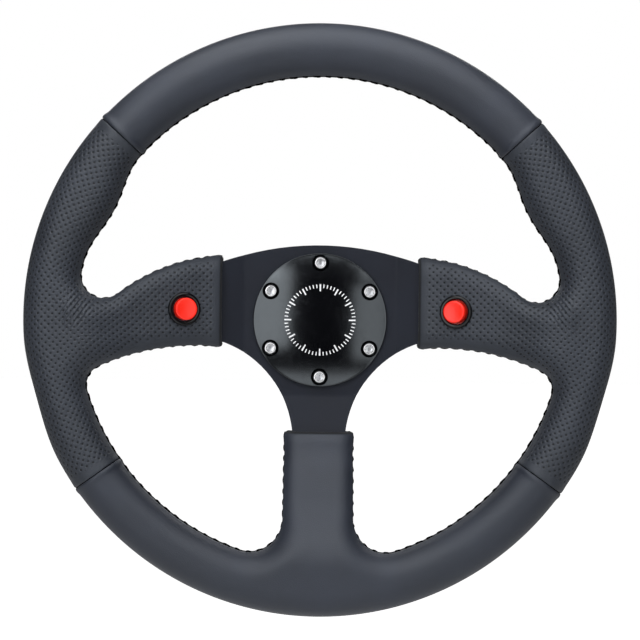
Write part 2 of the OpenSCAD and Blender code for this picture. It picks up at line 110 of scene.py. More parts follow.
def ease(u):
    """A smooth step from 0 to 1."""
    c = np.clip(u, 0, 1)
    return c * c * (3 - 2 * c)


def hump(u):
    """A round bump, 1 in the middle and 0 from -1 down and 1 up."""
    return np.where(np.abs(u) < 1, np.cos(np.radians(90 * u)) ** 2, 0)


def mix(a, b, u):
    return a * (1 - u) + b * u


def length(p):
    return np.hypot(p[..., 0], p[..., 1])


def elevation(p):
    """Degrees above the horizontal, the same on both sides."""
    return np.degrees(np.arcsin(p[..., 1] / np.maximum(length(p), 1e-9)))


def outer_edge_r(e):
    """Radius of the rim's outer edge, with its finger dips."""
    return RIM_R - DIP * hump((e - DIP_E) / DIP_HALF)


def inner_edge_r(e):
    """Radius of the rim's inner edge, with its thumb grips."""
    return INNER_R - THUMB_W * hump((e - THUMB_E) / THUMB_HALF)


def meet(r0, c, r1):
    """A point at r0 from the axis and r1 from c."""
    d = math.hypot(*c)
    a = (r0 * r0 - r1 * r1 + d * d) / 2 / d
    h = math.sqrt(r0 * r0 - a * a)
    return (a * c + h * np.array([-c[1], c[0]])) / d


TOP_CORNER = meet(INNER_R - TOP_FILLET, TOP_ARC, TOP_ARC_R + TOP_FILLET)
SIDE_CORNER = meet(INNER_R - SIDE_FILLET, LOW_ARC, LOW_ARC_R - SIDE_FILLET)
FOOT_CORNER_X = FOOT_W / 2 + FOOT_FILLET
FOOT_CORNER = np.array([FOOT_CORNER_X, -math.sqrt((INNER_R - FOOT_FILLET) ** 2 - FOOT_CORNER_X**2)])


def cross2(a, b):
    return a[..., 0] * b[..., 1] - a[..., 1] * b[..., 0]


def corner(p, c, r, v, plain):
    """Depth behind a round corner inside its wedge, and the plain depth elsewhere."""
    w = p - c
    turn = cross2(c, v)
    inside = (cross2(w, v) / turn > 0) & (cross2(c, w) / turn > 0)
    return np.where(inside, length(w) - r, plain)


def stitched_depth(p):
    """How far a point lies behind the stitched edges, which face the openings."""
    q = np.stack([np.abs(p[..., 0]), p[..., 1]], -1)
    e = elevation(q)
    rim = length(q) - inner_edge_r(e)
    above = corner(q, TOP_CORNER, TOP_FILLET, TOP_ARC - TOP_CORNER,
                   np.maximum(rim, TOP_ARC_R - length(q - TOP_ARC)))
    side = corner(q, SIDE_CORNER, SIDE_FILLET, SIDE_CORNER - LOW_ARC,
                  np.maximum(rim, length(q - LOW_ARC) - LOW_ARC_R))
    foot = corner(q, FOOT_CORNER, FOOT_FILLET, np.array([-1.0, 0.0]),
                  np.maximum(rim, FOOT_W / 2 - q[..., 0]))
    return np.minimum(above, np.where(e > -45, side, foot))


def outer_depth(p):
    """How far a point lies inside the rim's outer edge."""
    q = np.stack([np.abs(p[..., 0]), p[..., 1]], -1)
    return outer_edge_r(elevation(q)) - length(q)


def edge_depth(p):
    return np.minimum(stitched_depth(p), outer_depth(p))


def swell(p):
    """Share of the way from the flat padding to the round tube."""
    return ease((length(p) - SWELL_FROM) / (SWELL_TO - SWELL_FROM))


def full_half(p, inset):
    """Half the thickness well inside the edges."""
    return mix(PAD_HALF / math.cos(math.radians(SPOKE_ANGLE)), TUBE_R, swell(p)) - inset


def half_depth(p, inset):
    """Half the thickness at a point, rounded towards the edges."""
    soft = mix(PAD_SOFT, TUBE_R, swell(p)) - inset
    q = np.clip((edge_depth(p) - inset) / soft, 0, 1)
    return np.where(q < 1e-6, 0, full_half(p, inset) * np.sqrt(q * (2 - q)))


def bend_rise(t):
    """Rise of the bend between a spoke and the rim, in runs of the slope."""
    return np.where(t <= 0, 0, np.where(t < BEND_RUN, t * t / 2 / BEND_RUN, t - BEND_RUN / 2))


def mid_y(p):
    """Height of the middle surface along the wheel's axis."""
    run = np.where(elevation(p) > -45, np.abs(p[..., 0]), np.abs(p[..., 1]))
    u = ease((length(p) - 100) / (INNER_R - 100))
    return RIM_Y + SLOPE * bend_rise(INNER_R - mix(run, length(p), u))


def edge_between(solid, opening, inset):
    """The edge between a point in the padding and one in an opening, found by halving."""
    a, b = np.array(solid, float), np.array(opening, float)
    for _ in range(34):
        m = (a + b) / 2
        inside = (edge_depth(m) > inset)[..., None]
        a, b = np.where(inside, m, a), np.where(inside, b, m)
    return (a + b) / 2


def on_ray(r, th):
    a = np.radians(th)
    return np.stack([r * np.cos(a), r * np.sin(a)], -1)


def rim_end(th, inset=0.0):
    """The tube's stitched edge on a ray at th degrees."""
    th = np.asarray(th, float)
    fillet = np.where(th > 0, TOP_FILLET, np.where(th < -SEAM_DOWN, FOOT_FILLET, SIDE_FILLET))
    return edge_between(on_ray(TUBE_AXIS_R + 0 * th, th), on_ray(INNER_R - fillet, th), inset)


def corner_turn(c, share, fillet):
    """The ray that touches a corner's arc, at a share of its width."""
    return float(elevation(c)) + share * math.degrees(math.asin(fillet / math.hypot(*c)))


NECK_UP = corner_turn(TOP_CORNER, -0.9, TOP_FILLET)
NECK_DOWN = corner_turn(SIDE_CORNER, 0.6, SIDE_FILLET)
NECK_FOOT = corner_turn(FOOT_CORNER, -0.9, FOOT_FILLET)

# Shares of the way across, close together beside a stitched edge
FINE = [0, 1, 2, 3.4, 5, 6.8, 9, 11.5, 14.5, 18, 22]
TUBE_TURNS = np.array(list(np.arange(0, 154, 4.4)) + [180 - a for a in FINE[::-1]])
PAD_TURNS = np.array(FINE + list(np.linspace(22, 158, 33))[1:-1] + [180 - a for a in FINE[::-1]])
FOOT_TURNS = np.array(list(np.linspace(0, 68, 15)) + [90 - a for a in FINE[:-1][::-1]])


def share_of(turns):
    return (1 - np.cos(np.radians(turns))) / 2


def column(th, q, inset):
    """Points across the tube along a ray, from the outer edge to the point q."""
    o = on_ray(outer_edge_r(elevation(q)) - inset, th)
    s = share_of(TUBE_TURNS)[:, None]
    return o[None] * (1 - s) + q[None] * s


def columns(ths, inset):
    return [column(th, rim_end(th, inset), inset) for th in ths]


def side_neck(inset):
    """Points across the side spoke, where it leaves the tube."""
    a, b = rim_end(NECK_DOWN, inset), rim_end(NECK_UP, inset)
    s = share_of(PAD_TURNS)[:, None]
    return a * (1 - s) + b * s


def angle_of(q):
    return math.degrees(math.atan2(q[1], q[0]))


def toward_seam(start, seam, count):
    """Angles from start to a seam, close together beside the seam."""
    beside = np.array([0, 0.2, 0.45, 0.75, 1.1, 1.6, 2.2, 2.9, 3.7, 4.7, 6.0]) / TUBE_AXIS_R
    beside = np.degrees(beside) * (1 if start > seam else -1) + seam
    run = np.linspace(start, beside[-1], count, endpoint=False)
    return np.concatenate([run, beside[::-1]])


def arc_z(c, r, x):
    """Height of an arc above x."""
    return c[1] + math.sqrt(r * r - (x - c[0]) ** 2)


def end_steps(start, end, count):
    """Distances from start to an end wall, close together beside the wall."""
    beside = np.array([0, 0.08, 0.25, 0.5, 0.85, 1.3, 1.8, 2.6, 3.6, 4.8, 6, 7, 7.6, 8.1, 8.7, 9.6, 11])
    return np.concatenate([np.linspace(start, end + beside[-1], count, endpoint=False), end + beside[::-1]])


SEAM_HALF = math.degrees(SEAM_GAP / 2 / TUBE_AXIS_R)


def side_lines(inset):
    """Lines of points over the right side panel: columns round the rim, then rows along the spoke."""
    low, up = -SEAM_DOWN + SEAM_HALF, SEAM_UP - SEAM_HALF
    neck = side_neck(inset)
    below = columns(toward_seam(NECK_DOWN, low, 24)[1:], inset)[::-1]
    above = columns(toward_seam(NECK_UP, up, 40)[1:], inset)
    cols = below + [column(angle_of(q), q, inset) for q in neck] + above
    rows = [neck]
    xs_low = end_steps(neck[0][0], PAD_END, 34)
    xs_top = end_steps(neck[-1][0], PAD_END, 34)
    s = share_of(PAD_TURNS)[:, None]
    for xl, xt in zip(xs_low[1:], xs_top[1:]):
        lo = edge_between([xl, 0], [xl, arc_z(LOW_ARC, LOW_ARC_R, xl) - SIDE_FILLET], inset)
        hi = edge_between([xt, 0], [xt, arc_z(TOP_ARC, TOP_ARC_R, xt) + 1.7 * TOP_FILLET], inset)
        rows.append(lo * (1 - s) + hi * s)
    return cols, rows


def foot_lines(inset):
    """Lines of points over the right half of the bottom panel."""
    b = rim_end(NECK_FOOT, inset)
    s = np.sin(np.radians(FOOT_TURNS))
    neck = np.stack([b[0] * s, b[1] + 0 * s], -1)
    up = -SEAM_DOWN - SEAM_HALF
    cols = [column(angle_of(q), q, inset) for q in neck] + columns(toward_seam(NECK_FOOT, up, 56)[1:], inset)
    rows = [neck]
    for z in end_steps(-neck[0][1], FOOT_END, 26)[1:]:
        x = edge_between([0, -z], [FOOT_CORNER_X, -z], inset)[0]
        rows.append(np.stack([x * s, -z + 0 * s], -1))
    return cols, rows


def top_lines(inset):
    """Columns of points over the top panel, from seam to seam."""
    up = SEAM_UP + SEAM_HALF
    right = toward_seam(90.0, up, 62)
    ths = np.concatenate([right[::-1], 180 - right[1:]])
    return [column(th, on_ray(INNER_R + inset, th), inset) for th in ths]


# Leather shells
FAR = 99.0  # a distance at which an end or a seam has no effect
ROLL = 1.8  # radius of the leather's turned end
MAP_BACK = 97.3  # offset of the rear's holes in the flat map
SIDE_RIDGE, FOOT_RIDGE, TOP_RIDGE = 0.15, 0.5, 0.7  # heights of the leather beside the seams
SIDE_TUCK, FOOT_TUCK = (1.8, 2), (2.4, 0)  # radius of the corners at a spoke's end, and the axis along it


def rolled(d):
    """How far the leather has turned down at a distance from its end."""
    u = np.clip(1 - d / ROLL, 0, 1)
    return ROLL * (1 - np.sqrt(1 - u * u))


def shell_points(p, inset, end_d):
    """Front and back points of a place in the outline. end_d is the distance from the spoke end's wall."""
    half = half_depth(p, 0.0) * (1 - rolled(end_d) / full_half(p, 0.0))
    if inset:
        half = np.where(half_depth(p, inset) > 0,
                        np.maximum(np.minimum(half_depth(p, inset), half - 0.9), 0), 0)
    y = mid_y(p)
    front = np.stack([p[..., 0], y - half, p[..., 1]], -1)
    back = np.stack([p[..., 0], y + half, p[..., 1]], -1)
    return front, back


def lift_of(p, seam_d, end_d, ridge):
    """Height added to the leather: a ridge beside each seam, a groove along the stitching and a raised end."""
    half = half_depth(p, 0.0)
    near = stitched_depth(p) < 6
    lift = ridge * np.exp(-(((seam_d - 1.6) / 1.9) ** 2)) - 0.35 * np.clip(1 - seam_d / 0.6, 0, 1) ** 2
    groove = -0.45 * np.exp(-((half / 0.9) ** 2)) + 0.3 * np.exp(-(((half - 2.9) / 0.9) ** 2))
    lift = lift + np.where(near, groove, 0)
    return lift + 0.4 * np.exp(-(((end_d - 4.5) / 3.2) ** 2)) - 0.25 * np.exp(-(((end_d - 13) / 5) ** 2))


def stitched_share(p):
    """How close a point lies to the stitching, from 0 to 1."""
    return np.where(stitched_depth(p) < 6, np.exp(-((half_depth(p, 0.0) / 2.2) ** 4)), 0)


def tucked(points, line, end_d, tuck):
    """Draws the corners of a spoke's end in, so that they are round."""
    radius, axis = tuck
    s = np.clip(radius - end_d, 0, radius)
    draw = radius - np.sqrt(radius * radius - s * s)
    a, b = line[..., :1, 0 if axis == 0 else 1], line[..., -1:, 0 if axis == 0 else 1]
    middle = 0 * a if axis == 0 else (a + b) / 2
    reach = np.abs(b - middle)
    points = points.copy()
    points[..., axis] = middle + (points[..., axis] - middle) * (1 - draw / reach)
    return points


def leather_map(p, half, front):
    """Flat map of the leather in millimetres, along the rim and across it, for the holes."""
    r, th = length(p), np.arctan2(p[..., 1], np.abs(p[..., 0]))
    full = full_half(p, 0.0)
    turn = np.arcsin(np.clip(half / full, 0, 1))
    soft = mix(PAD_SOFT, TUBE_R, swell(p))
    outward = outer_depth(p) < stitched_depth(p)
    spare = np.maximum((full + soft) / 2 * (np.pi / 2 - turn) - (soft - np.minimum(edge_depth(p), soft)), 0)
    rim = ease((r - 105) / 35)
    u = mix(p[..., 1], TUBE_AXIS_R * th, rim)
    v = r * rim + np.abs(p[..., 0]) * (1 - rim) - TUBE_AXIS_R
    v = v + np.where(outward, spare, -spare * rim)
    u = u + np.where(outward, 0, np.sign(p[..., 1] + 14) * spare * (1 - rim))
    return np.stack([u, v + np.where(front, 0, MAP_BACK)], -1) * MM


class Shell:
    """Collects the quads of a closed leather shell."""

    def __init__(self):
        self.co, self.lift, self.room, self.edge, self.uv, self.faces = [], [], [], [], [], []

    def grid(self, a, lift, room, edge, uv, turn):
        """A sheet of quads over rows of equal length. turn says which way it faces."""
        n, m = a.shape[:2]
        start = sum(len(c) for c in self.co)
        self.co.append(a.reshape(-1, 3))
        self.lift.append(np.broadcast_to(lift, (n, m)).reshape(-1))
        self.room.append(np.broadcast_to(room, (n, m)).reshape(-1))
        self.edge.append(np.broadcast_to(edge, (n, m)).reshape(-1))
        self.uv.append(np.broadcast_to(uv, (n, m, 2)).reshape(-1, 2))
        i, j = np.meshgrid(np.arange(n - 1), np.arange(m - 1), indexing="ij")
        k = (start + i * m + j).reshape(-1)
        quads = np.stack([k, k + 1, k + m + 1, k + m], -1)
        self.faces.append(quads[:, ::-1] if turn else quads)

    def sheets(self, lines, inner, seam_ds, end_ds, ridge, turn, tuck=None):
        """Outer and inner faces over matching lines, front and back."""
        p, q = np.array(lines), np.array(inner)
        sd = np.asarray(seam_ds, float)[:, None] + 0 * p[..., 0]
        ed = np.asarray(end_ds, float)[:, None] + 0 * p[..., 0]
        half = half_depth(p, 0.0)
        # Holes stay clear of seams, ends and stitched edges, and further from the lower edges
        room = np.minimum(np.minimum(sd - 4.0, ed - 3.6) / 2, 1)
        bare = np.where(p[..., 1] > 0, 5.0, 6.2)
        away = np.where(stitched_depth(p) < TUBE_R, half, FAR)
        room = np.clip(np.minimum(room, (away - bare) / 2), 0, 1)
        lift = lift_of(p, sd, ed, ridge)
        # Painted shade: the leather turns near black towards the stitched edges and the turned ends, where shade
        # falls in the grooves and against the plate
        edge = np.maximum(stitched_share(p), np.exp(-((ed / 1.3) ** 2)))
        for k, (a, b) in enumerate(zip(shell_points(p, 0.0, ed), shell_points(q, LEATHER_T, ed))):
            way = turn if k == 0 else not turn
            if tuck:
                a, b = tucked(a, p, ed, tuck), tucked(b, q, ed, tuck)
            self.grid(a, lift, room, edge, leather_map(p, half, k == 0), way)
            self.grid(b, 0.0, 0.0, 0.0, 0.0, not way)

    def wall(self, line, inner, end_d, turn, tuck=None):
        """End wall between the outer and the inner faces, painted near black as shade."""
        fo, bo = shell_points(line, 0.0, end_d)
        fi, bi = shell_points(inner, LEATHER_T, end_d)
        for k, (a, b) in enumerate(((fo, fi), (bo, bi))):
            if tuck:
                a, b = tucked(a, line, end_d, tuck), tucked(b, inner, end_d, tuck)
            self.grid(np.stack([a, b]), 0.0, 0.0, 1.0, 0.0, turn if k == 0 else not turn)

    def mirror(self):
        """Adds the same quads on the other side of the wheel."""
        start = sum(len(c) for c in self.co)
        self.faces += [f[:, ::-1] + start for f in list(self.faces)]
        self.co += [c * [-1, 1, 1] for c in list(self.co)]
        for kept in (self.lift, self.room, self.edge, self.uv):
            kept += list(kept)

    def flip_side(self):
        """Turns a right panel into a left one."""
        self.co = [c * [-1, 1, 1] for c in self.co]
        self.faces = [f[:, ::-1] for f in self.faces]

    def mesh(self, name):
        """A Blender object from the sheets, with its attributes and its flat map."""
        co = np.concatenate(self.co) * MM
        faces = np.concatenate(self.faces)
        me = bpy.data.meshes.new(name)
        me.from_pydata(co.tolist(), [], faces.tolist())
        ob = bpy.data.objects.new(name, me)
        bpy.context.scene.collection.objects.link(ob)
        for label, values in (("lift", self.lift), ("hole_room", self.room), ("painted_edge_shade", self.edge)):
            at = me.attributes.new(label, "FLOAT", "POINT")
            at.data.foreach_set("value", np.concatenate(values).astype(np.float32))
        layer = me.uv_layers.new(name="leather_map")
        uv = np.concatenate(self.uv)
        loops = np.zeros(len(me.loops), np.int32)
        me.loops.foreach_get("vertex_index", loops)
        layer.data.foreach_set("uv", uv[loops].astype(np.float32).ravel())
        return ob


def only(ob):
    """Selects one object and makes it active."""
    bpy.ops.object.select_all(action="DESELECT")
    ob.select_set(True)
    bpy.context.view_layer.objects.active = ob


def edit_all(ob):
    only(ob)
    bpy.ops.object.mode_set(mode="EDIT")
    bpy.ops.mesh.select_all(action="SELECT")


def object_mode():
    bpy.ops.object.mode_set(mode="OBJECT")


def apply_modifier(ob, kind, **values):
    only(ob)
    m = ob.modifiers.new(kind.title(), kind)
    for k, v in values.items():
        setattr(m, k, v)
    bpy.ops.object.modifier_apply(modifier=m.name)


def finish_leather(shell, name):
    """Merges a shell's sheets, raises ridges and grooves and shades it smooth."""
    ob = shell.mesh(name)
    edit_all(ob)
    bpy.ops.mesh.remove_doubles(threshold=2e-6)
    bpy.ops.mesh.dissolve_degenerate(threshold=1e-7)
    bpy.ops.mesh.select_all(action="SELECT")
    bpy.ops.mesh.normals_make_consistent(inside=False)
    object_mode()
    me = ob.data
    n = len(me.vertices)
    co, no, lift = np.zeros(n * 3, np.float32), np.zeros(n * 3, np.float32), np.zeros(n, np.float32)
    me.vertices.foreach_get("co", co)
    me.vertices.foreach_get("normal", no)
    me.attributes["lift"].data.foreach_get("value", lift)
    moved = co.reshape(-1, 3) + no.reshape(-1, 3) * (lift * MM)[:, None]
    me.vertices.foreach_set("co", moved.astype(np.float32).ravel())
    me.attributes.remove(me.attributes["lift"])
    me.update()
    only(ob)
    bpy.ops.object.shade_smooth()
    return ob


def cut(ob, cutter):
    """Takes the cutter out of the object and removes the cutter."""
    apply_modifier(ob, "BOOLEAN", operation="DIFFERENCE", object=cutter, solver="EXACT")
    bpy.data.objects.remove(cutter, do_unlink=True)


def cylinder(r, low, high, at, sides=64):
    """A cylinder along the matrix's Z, between two heights in millimetres."""
    bpy.ops.object.select_all(action="DESELECT")
    bpy.ops.mesh.primitive_cylinder_add(vertices=sides, radius=r * MM, depth=(high - low) * MM)
    ob = bpy.context.object
    ob.matrix_world = at @ Matrix.Translation((0, 0, (low + high) / 2 * MM))
    bpy.ops.object.transform_apply(location=True, rotation=True, scale=True)
    return ob


def facing_front(x, y, z):
    """A matrix whose Z points out of the wheel's front."""
    return Matrix.Translation((x * MM, y * MM, z * MM)) @ Matrix.Rotation(math.pi / 2, 4, "X")


def button_place(side):
    """The place of a push-button's own axes, whose Z points out of its front."""
    at = Matrix.Translation((BUTTON_X * MM, BUTTON_Y * MM, BUTTON_Z * MM)) @ Matrix.Rotation(
        math.radians(-SPOKE_ANGLE), 4, "Z") @ Matrix.Rotation(math.pi / 2, 4, "X")
    return Matrix.Scale(-1, 4, (1, 0, 0)) @ at if side < 0 else at


def bolt_circle():
    """Places of the six screws, from the top one on."""
    turns = [math.radians(90 + 60 * k) for k in range(6)]
    return [(BOLT_R * math.cos(a), BOLT_R * math.sin(a)) for a in turns]


def side_shell():
    """The right side panel, over the tube and the spoke's end."""
    shell = Shell()
    (oc, orow), (ic, irow) = side_lines(0.0), side_lines(LEATHER_T)
    low, up = -SEAM_DOWN + SEAM_HALF, SEAM_UP - SEAM_HALF
    ths = np.array([angle_of(c[0]) for c in oc])
    seam_d = np.radians(np.minimum(ths - low, up - ths)) * TUBE_AXIS_R
    shell.sheets(oc, ic, seam_d, FAR + 0 * seam_d, SIDE_RIDGE, False)
    end_d = np.array([min(r[0][0], r[-1][0]) for r in orow]) - PAD_END
    shell.sheets(orow, irow, FAR + 0 * end_d, end_d, SIDE_RIDGE, True, SIDE_TUCK)
    shell.wall(oc[0], ic[0], FAR, True)
    shell.wall(oc[-1], ic[-1], FAR, False)
    shell.wall(orow[-1], irow[-1], 0.0, True, SIDE_TUCK)
    return shell


def foot_shell():
    """The bottom panel, over the tube and the lower spoke."""
    shell = Shell()
    (oc, orow), (ic, irow) = foot_lines(0.0), foot_lines(LEATHER_T)
    up = -SEAM_DOWN - SEAM_HALF
    ths = np.array([angle_of(c[0]) for c in oc])
    seam_d = np.radians(up - ths) * TUBE_AXIS_R
    shell.sheets(oc, ic, seam_d, FAR + 0 * seam_d, FOOT_RIDGE, False)
    end_d = np.array([-r[0][1] for r in orow]) - FOOT_END
    shell.sheets(orow, irow, FAR + 0 * end_d, end_d, FOOT_RIDGE, True, FOOT_TUCK)
    shell.wall(oc[-1], ic[-1], FAR, False)
    shell.wall(orow[-1], irow[-1], 0.0, True, FOOT_TUCK)
    shell.mirror()
    return shell


def top_shell():
    """The top panel."""
    shell = Shell()
    oc, ic = top_lines(0.0), top_lines(LEATHER_T)
    ths = np.array([angle_of(c[0]) for c in oc])
    up = SEAM_UP + SEAM_HALF
    seam_d = np.radians(np.minimum(ths - up, 180 - up - ths)) * TUBE_AXIS_R
    shell.sheets(oc, ic, seam_d, FAR + 0 * seam_d, TOP_RIDGE, False)
    shell.wall(oc[0], ic[0], FAR, True)
    shell.wall(oc[-1], ic[-1], FAR, False)
    return shell


# Turned parts and edges
FLAT_AREA = 300.0  # a face of a sheet above this many square millimetres is one of its flat sides


def turned(name, outline, steps=96):
    """A solid turned about its own Z axis from a closed outline of (radius, height) in millimetres."""
    bpy.ops.object.select_all(action="DESELECT")
    bpy.ops.mesh.primitive_circle_add(vertices=len(outline), radius=MM)
    ob = bpy.context.object
    ob.name = name
    for v, (r, h) in zip(ob.data.vertices, outline):
        v.co = (r * MM, 0, h * MM)
    edit_all(ob)
    bpy.ops.mesh.spin(steps=steps, angle=2 * math.pi, center=(0, 0, 0), axis=(0, 0, 1))
    bpy.ops.mesh.select_all(action="SELECT")
    bpy.ops.mesh.remove_doubles(threshold=2e-7)
    bpy.ops.mesh.dissolve_degenerate(threshold=1e-8)
    bpy.ops.mesh.select_all(action="SELECT")
    bpy.ops.mesh.delete_loose()
    bpy.ops.mesh.select_all(action="SELECT")
    bpy.ops.mesh.normals_make_consistent(inside=False)
    object_mode()
    return ob


def arc(r, h, radius, start, end, count=6):
    """Points of an arc in a turned outline, about (r, h)."""
    return [(r + radius * math.cos(math.radians(a)), h + radius * math.sin(math.radians(a)))
            for a in np.linspace(start, end, count)]


def prism(name, across_flats, low, high):
    """A six-sided bar along Z."""
    bpy.ops.object.select_all(action="DESELECT")
    bpy.ops.mesh.primitive_cylinder_add(vertices=6, radius=across_flats / math.sqrt(3) * MM,
                                        depth=(high - low) * MM, location=(0, 0, (low + high) / 2 * MM))
    bpy.ops.object.transform_apply(location=True, rotation=True, scale=True)
    bpy.context.object.name = name
    return bpy.context.object


def soften(ob, width, segments=2, angle=30):
    """Rounds every sharp edge of a finished shape."""
    apply_modifier(ob, "BEVEL", width=width * MM, segments=segments, limit_method="ANGLE",
                   angle_limit=math.radians(angle), use_clamp_overlap=True)


def shade(ob, angle=35):
    """Shades an object smooth, apart from edges sharper than the angle."""
    only(ob)
    bpy.ops.object.shade_smooth_by_angle(angle=math.radians(angle))


def round_bends(ob, width):
    """Rounds the slight bends of a sheet, which are sharper than 10 degrees and blunter than 40."""
    shape = bmesh.new()
    shape.from_mesh(ob.data)
    weight = shape.edges.layers.float.new("bevel_weight_edge")
    for edge in shape.edges:
        turn = edge.calc_face_angle(0)
        edge[weight] = 1.0 if math.radians(10) < turn < math.radians(40) else 0.0
    shape.to_mesh(ob.data)
    shape.free()
    apply_modifier(ob, "BEVEL", width=width * MM, segments=7, limit_method="WEIGHT", use_clamp_overlap=True)
    ob.data.attributes.remove(ob.data.attributes["bevel_weight_edge"])


def flat_first(ob, angle=35):
    """Shades rounded edges so that the large flat faces beside them stay flat."""
    shade(ob, angle)
    mesh, near = ob.data, math.cos(math.radians(angle))
    meeting = [[] for v in mesh.vertices]
    for face in mesh.polygons:
        for v in face.vertices:
            meeting[v].append(face)
    normals = [None] * len(mesh.loops)
    for face in mesh.polygons:
        for k, v in zip(face.loop_indices, face.vertices):
            around = [f for f in meeting[v] if f.normal.dot(face.normal) > near]
            flat = [f for f in around if f.area > FLAT_AREA * MM**2]
            if flat:
                normals[k] = max(flat, key=lambda f: f.normal.dot(face.normal)).normal
            else:
                normals[k] = sum((f.normal * f.area for f in around), Vector()).normalized()
    mesh.normals_split_custom_set(normals)


def mark_edges_for_highlight(ob, width):
    """Marks the narrow faces which round the edges of a sheet, and not those in its slight bends, for a painted
    highlight.
    """
    marks = ob.data.attributes.new("highlit_edge", "FLOAT", "FACE")
    flat = [f.normal for f in ob.data.polygons if f.area > FLAT_AREA * MM**2]
    for face in ob.data.polygons:
        if max(face.normal.dot(n) for n in flat) > math.cos(math.radians(12)):
            continue
        ends = [ob.data.vertices[v].co for v in face.vertices]
        around = sum((a - b).length for a, b in zip(ends, ends[1:] + ends[:1]))
        marks.data[face.index].value = float(2 * face.area < width * MM * around)


def place(ob, matrix):
    """Applies a place to the mesh, so that the object stays at the origin."""
    ob.matrix_world = matrix
    only(ob)
    bpy.ops.object.transform_apply(location=True, rotation=True, scale=True)
    if matrix.determinant() < 0:
        edit_all(ob)
        bpy.ops.mesh.normals_make_consistent(inside=False)
        object_mode()
    return ob


def copy_of(ob, name, matrix):
    """A copy with its own mesh, at another place."""
    new = ob.copy()
    new.data = ob.data.copy()
    new.name = name
    bpy.context.scene.collection.objects.link(new)
    return place(new, matrix)


def joined(name, parts):
    bpy.ops.object.select_all(action="DESELECT")
    for ob in parts:
        ob.select_set(True)
    bpy.context.view_layer.objects.active = parts[0]
    if len(parts) > 1:
        bpy.ops.object.join()
    parts[0].name = name
    return parts[0]


def dress(ob, material):
    ob.data.materials.clear()
    ob.data.materials.append(material)


def settle(ob, name, body, slot, material, *nodes):
    """Names a finished piece, gives it its finish and lets it ride in place of its CAD nodes."""
    ob.name = name
    dress(ob, material)
    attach(ob, body)
    if nodes:
        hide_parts(*nodes)


def threads(radius, depth, pitch, low, high):
    """Outline points of a thread, from high to low."""
    points, h = [], high
    while h - pitch > low:
        points += [(radius, h - 0.15 * pitch), (radius - depth, h - 0.5 * pitch), (radius, h - 0.85 * pitch)]
        h -= pitch
    return points


# Materials
# Near-black painted shade, for the stitched edges, the turned ends, the walls and the holes of the leather
SHADE_BLACK = (0.002, 0.002, 0.0025)
CREASE_PITCH = 0.0024
CREASE_X, CREASE_Z = 0.1425, 0.004
CREASE_ACROSS, CREASE_ALONG = 0.011, 0.016


def node(tree, kind, **values):
    """Adds a shader node. Names of inputs use _ for a space; attributes are set where they exist."""
    n = tree.nodes.new(kind)
    for k, v in values.items():
        if hasattr(n, k):
            setattr(n, k, v)
        else:
            n.inputs[k.replace("_", " ")].default_value = v
    return n


def link(tree, a, b):
    tree.links.new(a, b)


def math_node(tree, operation, a, b=None):
    """The output of a Math node, whose values are numbers or sockets."""
    n = node(tree, "ShaderNodeMath", operation=operation)
    for i, v in enumerate((a, b)):
        if v is None:
            continue
        if isinstance(v, (int, float)):
            n.inputs[i].default_value = v
        else:
            link(tree, v, n.inputs[i])
    return n.outputs[0]


def ramp(tree, value, low, high, to_low=0.0, to_high=1.0):
    """A smooth step of a value between two others."""
    n = node(tree, "ShaderNodeMapRange", interpolation_type="SMOOTHSTEP")
    n.inputs["From Min"].default_value, n.inputs["From Max"].default_value = low, high
    n.inputs["To Min"].default_value, n.inputs["To Max"].default_value = to_low, to_high
    link(tree, value, n.inputs["Value"])
    return n.outputs[0]


def mix_colour(tree, share, a, b):
    """A colour between a and b, each a colour or a socket."""
    n = node(tree, "ShaderNodeMix", data_type="RGBA")
    for socket, v in ((n.inputs[0], share), (n.inputs[6], a), (n.inputs[7], b)):
        if isinstance(v, (int, float)):
            socket.default_value = v
        elif hasattr(v, "is_output"):
            link(tree, v, socket)
        else:
            socket.default_value = (*v[:3], 1)
    return n.outputs[2]


def srgb(r, g, b):
    """A colour from its 0-255 values on screen."""
    return tuple((c / 255 / 12.92) if c <= 10 else ((c / 255 + 0.055) / 1.055) ** 2.4 for c in (r, g, b))


def new_group(name, inputs, outputs):
    """A node group, and its input and output nodes."""
    g = bpy.data.node_groups.new(name, "ShaderNodeTree")
    for label, kind, default in inputs:
        s = g.interface.new_socket(name=label, in_out="INPUT", socket_type=kind)
        if default is not None:
            s.default_value = default
    for label, kind in outputs:
        g.interface.new_socket(name=label, in_out="OUTPUT", socket_type=kind)
    return g, g.nodes.new("NodeGroupInput"), g.nodes.new("NodeGroupOutput")


def grain_group():
    """Leather and moulded grain: pebbles with fine pores, and slow variation of tone."""
    if "Grain" in bpy.data.node_groups:
        return bpy.data.node_groups["Grain"]
    f = "NodeSocketFloat"
    g, i, o = new_group("Grain", [("Scale", f, 900.0), ("Pores", f, 0.4)],
                        [("Height", f), ("Tone", f)])
    co = node(g, "ShaderNodeTexCoord").outputs["Object"]
    cells = node(g, "ShaderNodeTexVoronoi", feature="DISTANCE_TO_EDGE")
    link(g, co, cells.inputs["Vector"])
    link(g, i.outputs["Scale"], cells.inputs["Scale"])
    pebble = ramp(g, cells.outputs["Distance"], 0.0, 0.25)
    fine = node(g, "ShaderNodeTexNoise", Detail=4.0, Roughness=0.6)
    link(g, co, fine.inputs["Vector"])
    link(g, math_node(g, "MULTIPLY", i.outputs["Scale"], 2.3), fine.inputs["Scale"])
    pores = math_node(g, "MULTIPLY", fine.outputs["Fac"], i.outputs["Pores"])
    link(g, math_node(g, "ADD", pebble, pores), o.inputs["Height"])
    slow = node(g, "ShaderNodeTexNoise", Scale=28.0, Detail=3.0)
    link(g, co, slow.inputs["Vector"])
    link(g, slow.outputs["Fac"], o.inputs["Tone"])
    return g


